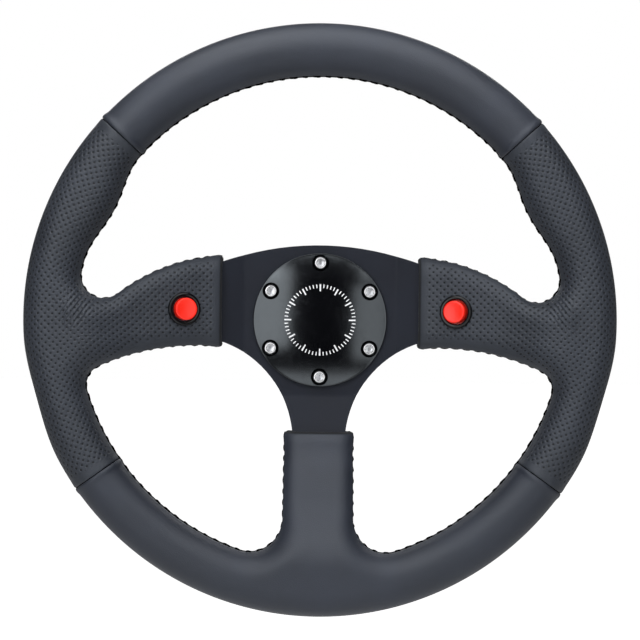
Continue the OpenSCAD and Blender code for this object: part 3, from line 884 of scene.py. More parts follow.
def highlight_and_wear_group():
    """How bright the painted highlight is, in patches, on the marked edge faces, and fine handling marks."""
    if "HighlightAndWear" in bpy.data.node_groups:
        return bpy.data.node_groups["HighlightAndWear"]
    f = "NodeSocketFloat"
    g, i, o = new_group("HighlightAndWear", [("Scratch Scale", f, 300.0)], [("Edge", f), ("Scratches", f)])
    marked = node(g, "ShaderNodeAttribute", attribute_name="highlit_edge").outputs["Fac"]
    co = node(g, "ShaderNodeTexCoord").outputs["Object"]
    patchy = node(g, "ShaderNodeTexNoise", Scale=120.0, Detail=5.0)
    link(g, co, patchy.inputs["Vector"])
    link(g, math_node(g, "MULTIPLY", marked, ramp(g, patchy.outputs["Fac"], 0.35, 0.6, 0.3, 1.0)),
         o.inputs["Edge"])
    marks = node(g, "ShaderNodeTexNoise", Detail=2.0, Distortion=2.0)
    link(g, co, marks.inputs["Vector"])
    link(g, i.outputs["Scratch Scale"], marks.inputs["Scale"])
    link(g, ramp(g, marks.outputs["Fac"], 0.45, 0.75), o.inputs["Scratches"])
    return g


def material(name):
    """A new material and its tree and Principled shader."""
    m = bpy.data.materials.new(name)
    m.use_nodes = True
    return m, m.node_tree, m.node_tree.nodes["Principled BSDF"]


def placed_group(tree, group, **values):
    """A group in a material, with its own values."""
    n = tree.nodes.new("ShaderNodeGroup")
    n.node_tree = group
    for k, v in values.items():
        n.inputs[k.replace("_", " ")].default_value = v
    return n


def bumped(tree, bsdf, height, distance, strength=1.0, below=None):
    """Gives the shader a bump from a height, on top of the one below."""
    b = node(tree, "ShaderNodeBump", Strength=strength, Distance=distance)
    link(tree, height, b.inputs["Height"])
    if below is not None:
        link(tree, below, b.inputs["Normal"])
    link(tree, b.outputs["Normal"], bsdf.inputs["Normal"])
    return b.outputs["Normal"]


def leather_material(name, colour, perforated, sizes):
    """Satin leather with fine grain. The perforated one has rows of holes and creases at the spoke's corner. Its
    stitched edges, turned ends and walls are painted near black as shade, and its holes are painted black as the
    shade inside them.
    """
    m, t, bsdf = material(name)
    grain = placed_group(t, grain_group(), Scale=1150.0, Pores=0.5)
    tone = ramp(t, grain.outputs["Tone"], 0.3, 0.7)
    pale = tuple(min(c * 1.18 + 0.002, 1) for c in colour[:3])
    deep = tuple(c * 0.86 for c in colour[:3])
    base = mix_colour(t, tone, deep, pale)
    rough = ramp(t, grain.outputs["Tone"], 0.2, 0.8, 0.50, 0.60)
    normal = bumped(t, bsdf, grain.outputs["Height"], 0.00006, sizes.grain_depth)
    # Painted shade: near black along the stitched edges, the turned ends and the walls
    edge = node(t, "ShaderNodeAttribute", attribute_name="painted_edge_shade").outputs["Fac"]
    base = mix_colour(t, ramp(t, edge, 0.1, 0.8), base, SHADE_BLACK)
    rough = math_node(t, "ADD", rough, math_node(t, "MULTIPLY", ramp(t, edge, 0.1, 0.8), 0.35))
    if perforated:
        uv = node(t, "ShaderNodeUVMap", uv_map="leather_map").outputs["UV"]
        turn = node(t, "ShaderNodeMapping")
        turn.inputs["Rotation"].default_value = (0, 0, math.radians(45))
        turn.inputs["Scale"].default_value = (1 / sizes.hole_pitch, 1 / sizes.hole_pitch, 1)
        link(t, uv, turn.inputs["Vector"])
        cell = node(t, "ShaderNodeVectorMath", operation="FRACTION")
        link(t, turn.outputs["Vector"], cell.inputs[0])
        off = node(t, "ShaderNodeVectorMath", operation="SUBTRACT")
        off.inputs[1].default_value = (0.5, 0.5, 0)
        link(t, cell.outputs["Vector"], off.inputs[0])
        dist = node(t, "ShaderNodeVectorMath", operation="LENGTH")
        link(t, off.outputs["Vector"], dist.inputs[0])
        # Painted shade: each hole is painted near black and made half metallic, as the shade inside it
        r = sizes.hole_size / 2 / sizes.hole_pitch
        inside = ramp(t, dist.outputs["Value"], r * 0.7, r * 1.1, 1.0, 0.0)
        room = node(t, "ShaderNodeAttribute", attribute_name="hole_room").outputs["Fac"]
        hole = math_node(t, "MULTIPLY", inside, ramp(t, room, 0.3, 0.7))
        base = mix_colour(t, hole, base, SHADE_BLACK)
        link(t, math_node(t, "MULTIPLY", hole, 0.5), bsdf.inputs["Metallic"])
        dip = ramp(t, dist.outputs["Value"], r * 0.6, r * 1.9, -1.0, 0.0)
        dip = math_node(t, "MULTIPLY", dip, ramp(t, room, 0.2, 0.8))
        normal = bumped(t, bsdf, dip, 0.00022, 1.0, normal)
        bumped(t, bsdf, crease_height(t), 0.0003, 0.8, normal)
    link(t, base, bsdf.inputs["Base Color"])
    link(t, rough, bsdf.inputs["Roughness"])
    bsdf.inputs["Specular IOR Level"].default_value = 0.5
    bsdf.inputs["Specular Tint"].default_value = (0.88, 0.93, 1.0, 1)
    bsdf.inputs["Sheen Weight"].default_value = 0.04
    return m


def crease_height(t):
    """Stretch creases below the corner above each side spoke."""
    co = node(t, "ShaderNodeSeparateXYZ")
    link(t, node(t, "ShaderNodeTexCoord").outputs["Object"], co.inputs[0])
    x = math_node(t, "ABSOLUTE", co.outputs[0])
    z = co.outputs[2]
    wave = math_node(t, "ADD", math_node(t, "MULTIPLY", x, 0.85 / CREASE_PITCH * 6.2832),
                     math_node(t, "MULTIPLY", z, 0.53 / CREASE_PITCH * 6.2832))
    noise = node(t, "ShaderNodeTexNoise", Scale=60.0, Detail=2.0)
    link(t, node(t, "ShaderNodeTexCoord").outputs["Object"], noise.inputs["Vector"])
    wave = math_node(t, "SINE", math_node(t, "ADD", wave, math_node(t, "MULTIPLY", noise.outputs["Fac"], 1.5)))
    dx = math_node(t, "SUBTRACT", x, CREASE_X)
    dz = math_node(t, "SUBTRACT", z, CREASE_Z)

    def turned_share(a, b, stretch):
        """Square of the distance from the creases' middle in one direction, as a share of its reach."""
        way = math_node(t, "ADD", math_node(t, "MULTIPLY", dx, a / stretch),
                        math_node(t, "MULTIPLY", dz, b / stretch))
        return math_node(t, "MULTIPLY", way, way)

    far = math_node(t, "SQRT", math_node(t, "ADD", turned_share(0.85, 0.53, CREASE_ACROSS),
                                         turned_share(0.53, -0.85, CREASE_ALONG)))
    return math_node(t, "MULTIPLY", wave, ramp(t, far, 0.3, 1.0, 1.0, 0.0))


def plain_finish(name, colour, rough, grain_scale, grain_depth, edge_highlight=None, specular=0.5, second=None):
    """A solid finish with grain in its height and roughness, and a painted highlight on marked edges where
    asked.
    Its tone drifts towards the second colour."""
    m, t, bsdf = material(name)
    grain = placed_group(t, grain_group(), Scale=grain_scale, Pores=0.6)
    tone = ramp(t, grain.outputs["Tone"], 0.3, 0.7)
    second = second or tuple(min(c * 1.1, 1) for c in colour[:3])
    base = mix_colour(t, tone, tuple(c * 0.9 for c in colour[:3]), second)
    if edge_highlight is not None:
        highlight_and_scratches = placed_group(t, highlight_and_wear_group(), Scratch_Scale=260.0)
        # Painted highlight along the marked edges
        base = mix_colour(t, highlight_and_scratches.outputs["Edge"], base, edge_highlight)
    link(t, base, bsdf.inputs["Base Color"])
    link(t, ramp(t, grain.outputs["Tone"], 0.25, 0.75, max(rough - 0.05, 0.03), rough + 0.05),
         bsdf.inputs["Roughness"])
    bsdf.inputs["Specular IOR Level"].default_value = specular
    bumped(t, bsdf, grain.outputs["Height"], grain_depth, 0.6)
    return m


def brushed_metal(name, colour, rough, turned_marks=True, front=None):
    """Bare metal with fine marks left by turning or plating. Where front is given, only faces that look straight
    out of the wheel keep the bright colour:
    the others are painted dark as shade and dark reflection, and what lies deeper than that end is painted
    duller as the shade of its recess."""
    m, t, bsdf = material(name)
    co = node(t, "ShaderNodeTexCoord").outputs["Object"]
    stretch = node(t, "ShaderNodeMapping")
    stretch.inputs["Scale"].default_value = (1, 6, 1) if turned_marks else (1, 1, 1)
    link(t, co, stretch.inputs["Vector"])
    n = node(t, "ShaderNodeTexNoise", Scale=1400.0, Detail=3.0)
    link(t, stretch.outputs["Vector"], n.inputs["Vector"])
    base = mix_colour(t, n.outputs["Fac"], tuple(c * 0.82 for c in colour[:3]), colour)
    if front is not None:
        facing, spot = node(t, "ShaderNodeSeparateXYZ"), node(t, "ShaderNodeSeparateXYZ")
        link(t, node(t, "ShaderNodeTexCoord").outputs["Normal"], facing.inputs[0])
        link(t, co, spot.inputs[0])
        # Painted shade: duller deeper in the recess, and dark grey on faces that don't look straight out, as
        # shade and dark reflection
        deep = ramp(t, spot.outputs[1], front + 0.0008, front + 0.0012)
        base = mix_colour(t, deep, base, srgb(172, 174, 178))
        base = mix_colour(t, ramp(t, facing.outputs[1], -0.985, -0.93), base, srgb(44, 45, 48))
    link(t, base, bsdf.inputs["Base Color"])
    link(t, ramp(t, n.outputs["Fac"], 0.2, 0.8, rough * 0.7, rough * 1.3), bsdf.inputs["Roughness"])
    bsdf.inputs["Metallic"].default_value = 1.0
    bumped(t, bsdf, n.outputs["Fac"], 0.00001, 0.5)
    return m


# Settings


def length_setting(name, text, default):
    return bpy.props.FloatProperty(name=name, description=text, default=default, min=0, unit="LENGTH",
                                   precision=5)


def colour_setting(name, text, default):
    return bpy.props.FloatVectorProperty(name=name, description=text, default=default, size=3,
                                         min=0, max=1, subtype="COLOR")


class LeatherSettings(bpy.types.PropertyGroup):
    smooth_colour: colour_setting("Smooth leather", "Colour of the top and bottom panels", srgb(27, 31, 41))
    perforated_colour: colour_setting("Perforated leather", "Colour of the side panels", srgb(28, 32, 40))
    thread_colour: colour_setting("Thread", "Colour of the stitching", srgb(3, 3, 3))
    hole_pitch: length_setting("Hole pitch", "Distance between two perforations", 0.0030)
    hole_size: length_setting("Hole size", "Diameter of a perforation", 0.0013)
    stitch_pitch: length_setting("Stitch pitch", "Distance between two stitches", 0.0068)
    thread_size: length_setting("Thread size", "Diameter of the thread", 0.0008)
    grain_depth: bpy.props.FloatProperty(name="Grain depth", description="Strength of the leather's grain",
                                         default=0.5, min=0, max=2, subtype="FACTOR")


class HubSettings(bpy.types.PropertyGroup):
    plate_colour: colour_setting("Spoke plate", "Colour of the plate's coating", srgb(27, 30, 38))
    cover_colour: colour_setting("Cover", "Colour of the centre cover", srgb(4, 4, 6))
    print_colour: colour_setting("Print", "Colour of the marks printed on the cover", srgb(225, 226, 228))
    print_radius: length_setting("Print radius", "Radius of the printed ring of marks", 0.0218)
    screw_colour: colour_setting("Screws", "Colour of the screws", srgb(225, 226, 228))


class ButtonSettings(bpy.types.PropertyGroup):
    cap_colour: colour_setting("Cap", "Colour of the push-buttons' caps", srgb(222, 26, 14))
    bezel_colour: colour_setting("Bezel", "Colour of the bezels", srgb(9, 9, 11))


class StageSettings(bpy.types.PropertyGroup):
    distance: length_setting("Camera distance", "Distance of the camera from the rim's plane", 0.80)
    view_width: length_setting("View width", "Width of the picture at the rim's plane", 0.3781)
    roll: bpy.props.FloatProperty(name="Camera roll", description="Roll of the camera", subtype="ANGLE",
                                  default=math.radians(0.65))
    floor_drop: length_setting("Floor drop", "Distance of the floor below the wheel's axis", 0.62)
    floor_front: length_setting("Floor front", "Distance to which the floor reaches in front of the wheel", 1.4)
    room: bpy.props.FloatProperty(name="Room", description="Brightness of the room in reflections",
                                  default=0.01, min=0)
    fill: bpy.props.FloatProperty(name="Fill", description="Brightness of the room on plain surfaces",
                                  default=0.02, min=0)
    softbox: bpy.props.FloatProperty(name="Soft boxes", description="Brightness of the soft boxes",
                                     default=1.0, min=0)


# Leather and stitching


class SteeringLeather(bpy.types.Operator):
    """Covers the rim and the spoke ends with four leather panels"""

    bl_idname = "steering.leather"
    bl_label = "Leather panels"

    def execute(self, context):
        sizes = context.scene.steering_leather
        smooth = leather_material("smooth_leather", sizes.smooth_colour, False, sizes)
        holed = leather_material("perforated_leather", sizes.perforated_colour, True, sizes)
        top = finish_leather(top_shell(), "rim_leather_top")
        bottom = finish_leather(foot_shell(), "rim_leather_bottom")
        panels = [(top, "leather_smooth", smooth, "leather_top"),
                  (bottom, "leather_smooth", smooth, "leather_bottom")]
        for side, name in ((1, "right"), (-1, "left")):
            shell = side_shell()
            if side < 0:
                shell.flip_side()
            ob = finish_leather(shell, "rim_leather_" + name)
            cut(ob, cylinder(BARREL_R + BARREL_ROOM, -22, 22, button_place(side)))
            only(ob)
            bpy.ops.object.shade_smooth()
            panels.append((ob, "leather_perforated", holed, "leather_" + name))
        for ob, slot, finish, cad in panels:
            settle(ob, ob.name, WHEEL, slot, finish, cad)
        return {"FINISHED"}


def seam_path(points):
    """A stitched edge as even steps: places, ways along and ways out, in millimetres."""
    p = np.array(points)
    y = mid_y(p)
    e = 0.02
    gx = stitched_depth(p + [e, 0]) - stitched_depth(p - [e, 0])
    gz = stitched_depth(p + [0, e]) - stitched_depth(p - [0, e])
    out = -np.stack([gx, 0 * gx, gz], -1)
    out /= np.maximum(np.linalg.norm(out, axis=1), 1e-9)[:, None]
    return np.stack([p[:, 0], y, p[:, 1]], -1), out


def even_steps(points, outs, pitch):
    """Places at even steps along a stitched edge, with their ways out and ahead."""
    run = np.concatenate([[0], np.cumsum(np.linalg.norm(np.diff(points, axis=0), axis=1))])
    count = max(int(round(run[-1] / pitch)), 1)
    at = (np.arange(count) + 0.5) * run[-1] / count
    spots = np.stack([np.interp(at, run, points[:, k]) for k in range(3)], -1)
    out = np.stack([np.interp(at, run, outs[:, k]) for k in range(3)], -1)
    out /= np.linalg.norm(out, axis=1)[:, None]
    ahead = np.stack([np.interp(at + 0.3, run, points[:, k]) - np.interp(at - 0.3, run, points[:, k])
                      for k in range(3)], -1)
    ahead /= np.linalg.norm(ahead, axis=1)[:, None]
    return spots, out, ahead


def edge_lines():
    """The stitched edges of the right half: round the upper opening and round the lower one."""
    side_columns, rows = side_lines(0.0)
    foot_columns, foot_rows = foot_lines(0.0)
    top = top_lines(0.0)
    rim = [c[-1] for c in side_columns]
    low = next(i for i, c in enumerate(side_columns) if abs(angle_of(c[0]) - NECK_DOWN) < 1e-3)
    high = low + len(PAD_TURNS) - 1
    upper = [c[-1] for c in top[:len(top) // 2 + 1]][::-1]
    upper += rim[high:][::-1] + [r[-1] for r in rows[1:-2]]
    lower = [r[0] for r in rows[1:-2]][::-1] + rim[:low + 1][::-1]
    lower += [c[-1] for c in foot_columns[len(FOOT_TURNS):]][::-1] + [r[-1] for r in foot_rows[:-2]]
    return upper, lower


def tube_faces(start, sides, rings, closed):
    """Faces of a thread whose rings of vertices follow each other."""
    faces = []
    for k in range(rings if closed else rings - 1):
        for j in range(sides):
            a, b = start + k * sides + j, start + k * sides + (j + 1) % sides
            c, d = start + (k + 1) % rings * sides + (j + 1) % sides, start + (k + 1) % rings * sides + j
            faces.append((a, b, c, d))
    if not closed:
        faces.append(tuple(start + j for j in range(sides))[::-1])
        faces.append(tuple(start + (rings - 1) * sides + j for j in range(sides)))
    return faces


def crossed_stitch(c, out, ahead, slant, pitch, radius, sides, rings):
    """Vertices of one stitch over an edge: a short curved thread with tucked ends."""
    across = np.cross(ahead, out)
    across /= np.linalg.norm(across)
    u = np.linspace(-1, 1, rings)
    swing = 1 + 0.25 * math.sin(c[0] * 3.1 + c[2] * 1.7)
    proud = mix(-0.1, 0.4, ease((math.hypot(c[0], c[2]) - 120) / 20))
    centre = (c + out * (proud - 0.75 * u[:, None] ** 2) + across * (u * 2.7)[:, None]
              + ahead * (slant * swing * u * pitch * 0.34)[:, None] + out * (0.08 * slant))
    way = np.gradient(centre, axis=0)
    way /= np.linalg.norm(way, axis=1)[:, None]
    side = np.cross(way, out)
    side /= np.linalg.norm(side, axis=1)[:, None]
    up = np.cross(side, way)
    fat = radius * np.sqrt(np.clip(1.02 - u**4, 0.05, 1))
    turns = np.linspace(0, 2 * np.pi, sides, endpoint=False)
    return [centre[k] + fat[k] * (side[k] * math.cos(a) + up[k] * math.sin(a))
            for k in range(rings) for a in turns]


def seam_thread(th, radius, sides, rings):
    """Vertices of the thread in a seam, a ring round the rim's tube."""
    out = np.append(on_ray(1.0, th), 0.0)[[0, 2, 1]]
    forward = np.array([0.0, -1.0, 0.0])
    centre = out * TUBE_AXIS_R + [0, RIM_Y, 0]
    verts = []
    for a in np.linspace(0, 2 * np.pi, rings, endpoint=False):
        way = out * math.cos(a) + forward * math.sin(a)
        along = np.cross(out, forward)
        for b in np.linspace(0, 2 * np.pi, sides, endpoint=False):
            depth = TUBE_R - 0.3 - radius + radius * math.cos(b)
            verts.append(centre + way * depth + along * radius * math.sin(b))
    return verts


def thread_mesh(name, lines, pitch, radius):
    """Crossed stitches along the edges, and a thread in each seam of the rim."""
    sides, rings = 7, 7
    verts, faces = [], []
    for line in lines:
        points, outs = seam_path(line)
        for c, out, ahead in zip(*even_steps(points, outs, pitch)):
            for slant in (1, -1):
                faces += tube_faces(len(verts), sides, rings, False)
                verts += crossed_stitch(c, out, ahead, slant, pitch, radius, sides, rings)
    for th in (SEAM_UP, 180 - SEAM_UP, -SEAM_DOWN, 180 + SEAM_DOWN):
        faces += tube_faces(len(verts), 8, 96, True)
        verts += seam_thread(th, radius, 8, 96)
    me = bpy.data.meshes.new(name)
    me.from_pydata((np.array(verts) * MM).tolist(), [], faces)
    ob = bpy.data.objects.new(name, me)
    bpy.context.scene.collection.objects.link(ob)
    edit_all(ob)
    bpy.ops.mesh.normals_make_consistent(inside=False)
    object_mode()
    shade(ob, 60)
    return ob


def thread_material(colour):
    """Waxed black thread with a fine twist."""
    m, t, bsdf = material("waxed_thread")
    co = node(t, "ShaderNodeTexCoord").outputs["Object"]
    twist = node(t, "ShaderNodeTexWave", Scale=900.0, Distortion=1.5, Detail=1.0)
    link(t, co, twist.inputs["Vector"])
    link(t, mix_colour(t, twist.outputs["Fac"], tuple(c * 0.6 for c in colour[:3]),
                       tuple(c * 1.5 for c in colour[:3])), bsdf.inputs["Base Color"])
    bsdf.inputs["Roughness"].default_value = 0.7
    bsdf.inputs["Specular IOR Level"].default_value = 0.0
    bumped(t, bsdf, twist.outputs["Fac"], 0.0001, 0.7)
    return m


class SteeringStitching(bpy.types.Operator):
    """Sews the inner edges of the leather with crossed stitches"""

    bl_idname = "steering.stitching"
    bl_label = "Stitching"

    def execute(self, context):
        sizes = context.scene.steering_leather
        upper, lower = edge_lines()
        lines = [upper, lower] + [[np.array([-p[0], p[1]]) for p in line] for line in (upper, lower)]
        ob = thread_mesh("rim_stitching", lines, sizes.stitch_pitch / MM, sizes.thread_size / 2 / MM)
        settle(ob, "rim_stitching", WHEEL, "leather_smooth", thread_material(sizes.thread_colour))
        return {"FINISHED"}


# Hub


class SteeringPlate(bpy.types.Operator):
    """Finishes the spoke plate with broken edges and a satin coating"""

    bl_idname = "steering.plate"
    bl_label = "Spoke plate"

    def execute(self, context):
        hub = context.scene.steering_hub
        ob = frame["nodes"]["spoke_plate"].copy()
        ob.data = ob.data.copy()
        # The copy is a piece of its own, without the CAD node's labels
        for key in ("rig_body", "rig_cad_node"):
            if key in ob:
                del ob[key]
        ob.parent = None
        ob.name = "coated_spoke_plate"
        context.scene.collection.objects.link(ob)
        edit_all(ob)
        bpy.ops.mesh.remove_doubles(threshold=1e-6)
        bpy.ops.mesh.dissolve_limited(angle_limit=math.radians(0.5))
        object_mode()
        round_bends(ob, 1.0)
        soften(ob, 0.55, 3, 40)
        flat_first(ob)
        mark_edges_for_highlight(ob, 0.45)
        # The plate's rounded edges get a painted highlight in its finish
        finish = plain_finish("satin_plate_coating", hub.plate_colour, 0.55, 2600.0, 0.00002,
                              edge_highlight=srgb(120, 122, 128), specular=0.12)
        settle(ob, ob.name, WHEEL, "plate_black", finish, "spoke_plate")
        return {"FINISHED"}


def cover_material(hub):
    """Gloss black cover with a printed ring of sixty marks, every fifth one longer."""
    m, t, bsdf = material("gloss_cover")
    co = node(t, "ShaderNodeSeparateXYZ")
    link(t, node(t, "ShaderNodeTexCoord").outputs["Object"], co.inputs[0])
    x, z = co.outputs[0], co.outputs[2]
    r = math_node(t, "SQRT", math_node(t, "ADD", math_node(t, "MULTIPLY", x, x),
                                       math_node(t, "MULTIPLY", z, z)))

    def marks(count, half_width, depth):
        """Evenly spaced radial marks that end on the print's radius."""
        turn = math_node(t, "MULTIPLY", math_node(t, "ARCTAN2", x, z), count / (2 * math.pi))
        off = math_node(t, "ABSOLUTE", math_node(t, "SUBTRACT", math_node(t, "FRACT", turn), 0.5))
        share = half_width * count / (2 * math.pi * hub.print_radius)
        bar = ramp(t, off, 0.5 - share - 0.02, 0.5 - share + 0.02)
        inside = ramp(t, r, hub.print_radius - 0.00006, hub.print_radius + 0.00006, 1.0, 0.0)
        outside = ramp(t, r, hub.print_radius - depth - 0.00006, hub.print_radius - depth + 0.00006)
        return math_node(t, "MULTIPLY", bar, math_node(t, "MULTIPLY", inside, outside))

    ink = math_node(t, "MAXIMUM", marks(60, 0.0003, 0.0022), marks(12, 0.00045, 0.0042))
    facing = node(t, "ShaderNodeSeparateXYZ")
    link(t, node(t, "ShaderNodeTexCoord").outputs["Normal"], facing.inputs[0])
    front = math_node(t, "LESS_THAN", facing.outputs[1], -0.5)
    ink = math_node(t, "MULTIPLY", ink, front)
    grain = placed_group(t, grain_group(), Scale=3000.0, Pores=0.5)
    highlight_and_scratches = placed_group(t, highlight_and_wear_group(), Scratch_Scale=140.0)
    link(t, mix_colour(t, ink, hub.cover_colour, hub.print_colour), bsdf.inputs["Base Color"])
    rough = ramp(t, highlight_and_scratches.outputs["Scratches"], 0.0, 1.0, 0.15, 0.19)
    link(t, math_node(t, "ADD", rough, math_node(t, "MULTIPLY", ink, 0.3)), bsdf.inputs["Roughness"])
    bsdf.inputs["Specular Tint"].default_value = (0.84, 0.93, 1.0, 1)
    bumped(t, bsdf, grain.outputs["Height"], 0.000004, 0.3)
    return m


class SteeringCover(bpy.types.Operator):
    """Turns the domed centre cover and sinks its six screw seats"""

    bl_idname = "steering.cover"
    bl_label = "Centre cover"

    def execute(self, context):
        hub = context.scene.steering_hub
        fall = COVER_H - COVER_EDGE
        dome_r = (COVER_R**2 + fall**2) / 2 / fall
        wall, hollow_r = 2.6, 23.0

        def dome(r, top, count):
            return [(x, top - dome_r + math.sqrt(dome_r**2 - x * x)) for x in np.linspace(r, 0, count)]

        edge = 0.5
        rim = dome(COVER_R - edge, COVER_H, 60)
        outline = [(0, COVER_H - wall)] + dome(hollow_r, COVER_H - wall, 12)[::-1][1:] + [(hollow_r, 0.0)]
        outline += [(COVER_R - 0.3, 0.0), (COVER_R, 0.3)]
        outline += arc(COVER_R - edge, rim[0][1] - edge, edge, 0, 76, 6) + rim
        ob = turned("domed_cover", outline, 160)
        for x, z in bolt_circle():
            at = Matrix.Translation((x * MM, z * MM, 0))
            seat = turned("seat", [(0, SEAT_FLOOR), (SEAT_D / 2, SEAT_FLOOR), (SEAT_D / 2, 9), (0, 9)], 64)
            cut(ob, place(seat, at))
            cut(ob, cylinder(SCREW_HOLE_R, -1, 3, at, 48))
        soften(ob, 0.22, 2, 40)
        place(ob, facing_front(0, -PLATE_T, 0))
        shade(ob, 28)
        settle(ob, "domed_cover", WHEEL, "cover_black", cover_material(hub), "centre_cover")
        return {"FINISHED"}


class SteeringScrews(bpy.types.Operator):
    """Turns one socket screw with its thread and copies it round the bolt circle"""

    bl_idname = "steering.screws"
    bl_label = "Screws"

    def execute(self, context):
        hub = context.scene.steering_hub
        low, high = PLATE_T + SEAT_FLOOR, PLATE_T + SEAT_FLOOR + 3
        outline = [(0, -12), (1.9, -12), (2.5, -11.4)]
        outline += threads(2.5, 0.42, 0.8, -11.2, -0.2)[::-1]
        outline += [(2.6, 0.0), (2.6, low), (4.1, low), (4.25, low + 0.2), (4.25, high - 1.4)]
        outline += arc(2.85, high - 1.4, 1.4, 0, 80, 9) + [(2.6, high), (2.4, high - 0.15), (0, high - 0.15)]
        screw = turned("screw", outline, 64)
        cut(screw, prism("socket", 4.0, high - 1.9, high + 1))
        soften(screw, 0.07, 2, 35)
        parts = []
        for k, (x, z) in enumerate(bolt_circle()):
            tightened = Matrix.Rotation(math.radians(17 * k * k + 8), 4, "Z")
            parts.append(copy_of(screw, f"screw_{k}", facing_front(x, 0, z) @ tightened))
        bpy.data.objects.remove(screw, do_unlink=True)
        ob = joined("socket_screws", parts)
        shade(ob, 35)
        # The screw heads' slopes and sockets are painted darker as shade
        settle(ob, "socket_screws", WHEEL, "screw_steel",
               brushed_metal("bright_screw", hub.screw_colour, 0.34, front=-high * MM), "cover_screws")
        return {"FINISHED"}


# Push-buttons


class SteeringBezels(bpy.types.Operator):
    """Turns the bezel of each push-button, with its cup and threaded barrel"""

    bl_idname = "steering.bezels"
    bl_label = "Button bezels"

    def execute(self, context):
        button = context.scene.steering_button
        top = PAD_HALF + 2.2
        outline = [(2.56, 3.0), (7.65, 3.0), (7.65, top - 0.45)]
        outline += arc(8.0, top - 0.45, 0.35, 180, 90, 4) + arc(8.9, top - 1.1, 1.1, 90, 0, 7)
        outline += [(10.0, PAD_HALF + 0.15), (9.85, PAD_HALF), (BARREL_R, PAD_HALF), (BARREL_R, -7.0)]
        outline += threads(BARREL_R, 0.5, 1.0, -15.6, -7.4)
        outline += [(7.5, -16.0), (6.3, -16.0), (6.3, 1.5), (2.56, 1.5)]
        finish = plain_finish("gloss_bezel", button.bezel_colour, 0.08, 2400.0, 0.000004, specular=0.2)
        for side, name in ((1, "right"), (-1, "left")):
            ob = place(turned("bezel", outline), button_place(side))
            shade(ob, 32)
            settle(ob, name + "_button_bezel", WHEEL, "button_black", finish, name + "_bezel")
        return {"FINISHED"}


class SteeringCaps(bpy.types.Operator):
    """Turns the red cap of each push-button"""

    bl_idname = "steering.caps"
    bl_label = "Button caps"

    def execute(self, context):
        button = context.scene.steering_button
        outline = [(0, 1.4), (2.35, 1.4), (2.5, 1.55), (2.5, 11.4)]
        outline += [(6.0, 11.4), (6.0, 5.0), (7.35, 5.0), (7.5, 5.15)]
        outline += [(7.5, 6.2), (7.35, 6.35), (6.7, 6.35), (6.7, 12.4)] + arc(5.9, 12.4, 0.8, 0, 80, 7)
        outline += [(5.5, 13.15), (4.4, 13.0), (2.5, 12.8), (0, 12.72)]
        finish = plain_finish("red_cap", button.cap_colour, 0.3, 1800.0, 0.00001, specular=0.3,
                              second=srgb(238, 40, 22))
        for side, name, body in ((1, "right", RIGHT), (-1, "left", LEFT)):
            ob = place(turned("cap", outline), button_place(side))
            shade(ob, 32)
            settle(ob, name + "_button_cap", body, "button_red", finish, name + "_cap")
        return {"FINISHED"}


class SteeringNuts(bpy.types.Operator):
    """Makes the washer and the hexagon nut behind each push-button"""

    bl_idname = "steering.nuts"
    bl_label = "Nuts and washers"

    def execute(self, context):
        low = -PAD_HALF - 1
        nut_finish = brushed_metal("zinc_nut", srgb(176, 178, 184), 0.3)
        washer_finish = brushed_metal("zinc_washer", srgb(190, 190, 194), 0.35)
        for side, name in ((1, "right"), (-1, "left")):
            washer = turned("washer", [(8.1, low), (10.4, low), (10.5, low + 0.1), (10.5, low + 0.9),
                                       (10.4, low + 1), (8.1, low + 1)])
            place(washer, button_place(side))
            shade(washer)
            settle(washer, name + "_plain_washer", WHEEL, "washer_zinc", washer_finish, name + "_washer")
            nut = prism("nut", 19, low - 4, low)
            crown = turned("crown", [(0, low - 4), (9.3, low - 4), (10.97, low - 3.2), (10.97, low), (0, low)])
            apply_modifier(nut, "BOOLEAN", operation="INTERSECT", object=crown, solver="EXACT")
            bpy.data.objects.remove(crown, do_unlink=True)
            cut(nut, turned("bore", [(0, low - 5), (8.5, low - 5), (8.5, low - 4), (BARREL_R, low - 3.4),
                                     (BARREL_R, low + 1), (0, low + 1)]))
            soften(nut, 0.15, 2, 35)
            place(nut, button_place(side))
            shade(nut)
            settle(nut, name + "_hexagon_nut", WHEEL, "nut_zinc", nut_finish, name + "_nut")
        return {"FINISHED"}


class SteeringSprings(bpy.types.Operator):
    """Winds the return spring under each cap"""

    bl_idname = "steering.springs"
    bl_label = "Return springs"

    def execute(self, context):
        low, high, radius, wire, turns, travel = 3.02, 11.38, 5.0, 0.4, 4, 1.8
        finish = brushed_metal("spring_wire", srgb(170, 172, 178), 0.25, False)
        for side, name in ((1, "right"), (-1, "left")):
            bpy.ops.object.select_all(action="DESELECT")
            bpy.ops.mesh.primitive_circle_add(vertices=10, radius=wire * MM, rotation=(math.pi / 2, 0, 0),
                                              location=(radius * MM, 0, (low + wire) * MM))
            bpy.ops.object.transform_apply(location=True, rotation=True, scale=True)
            ob = bpy.context.object
            apply_modifier(ob, "SCREW", axis="Z", angle=2 * math.pi, iterations=turns, steps=40, render_steps=40,
                           screw_offset=(high - low - 2 * wire) / turns * MM)
            edit_all(ob)
            bpy.ops.mesh.fill_holes(sides=0)
            bpy.ops.mesh.select_all(action="SELECT")
            bpy.ops.mesh.normals_make_consistent(inside=False)
            object_mode()
            at = button_place(side)
            place(ob, at)
            shade(ob, 60)
            settle(ob, name + "_return_spring", WHEEL, "spring_steel", finish, name + "_spring")
            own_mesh(ob)
        return {"FINISHED"}


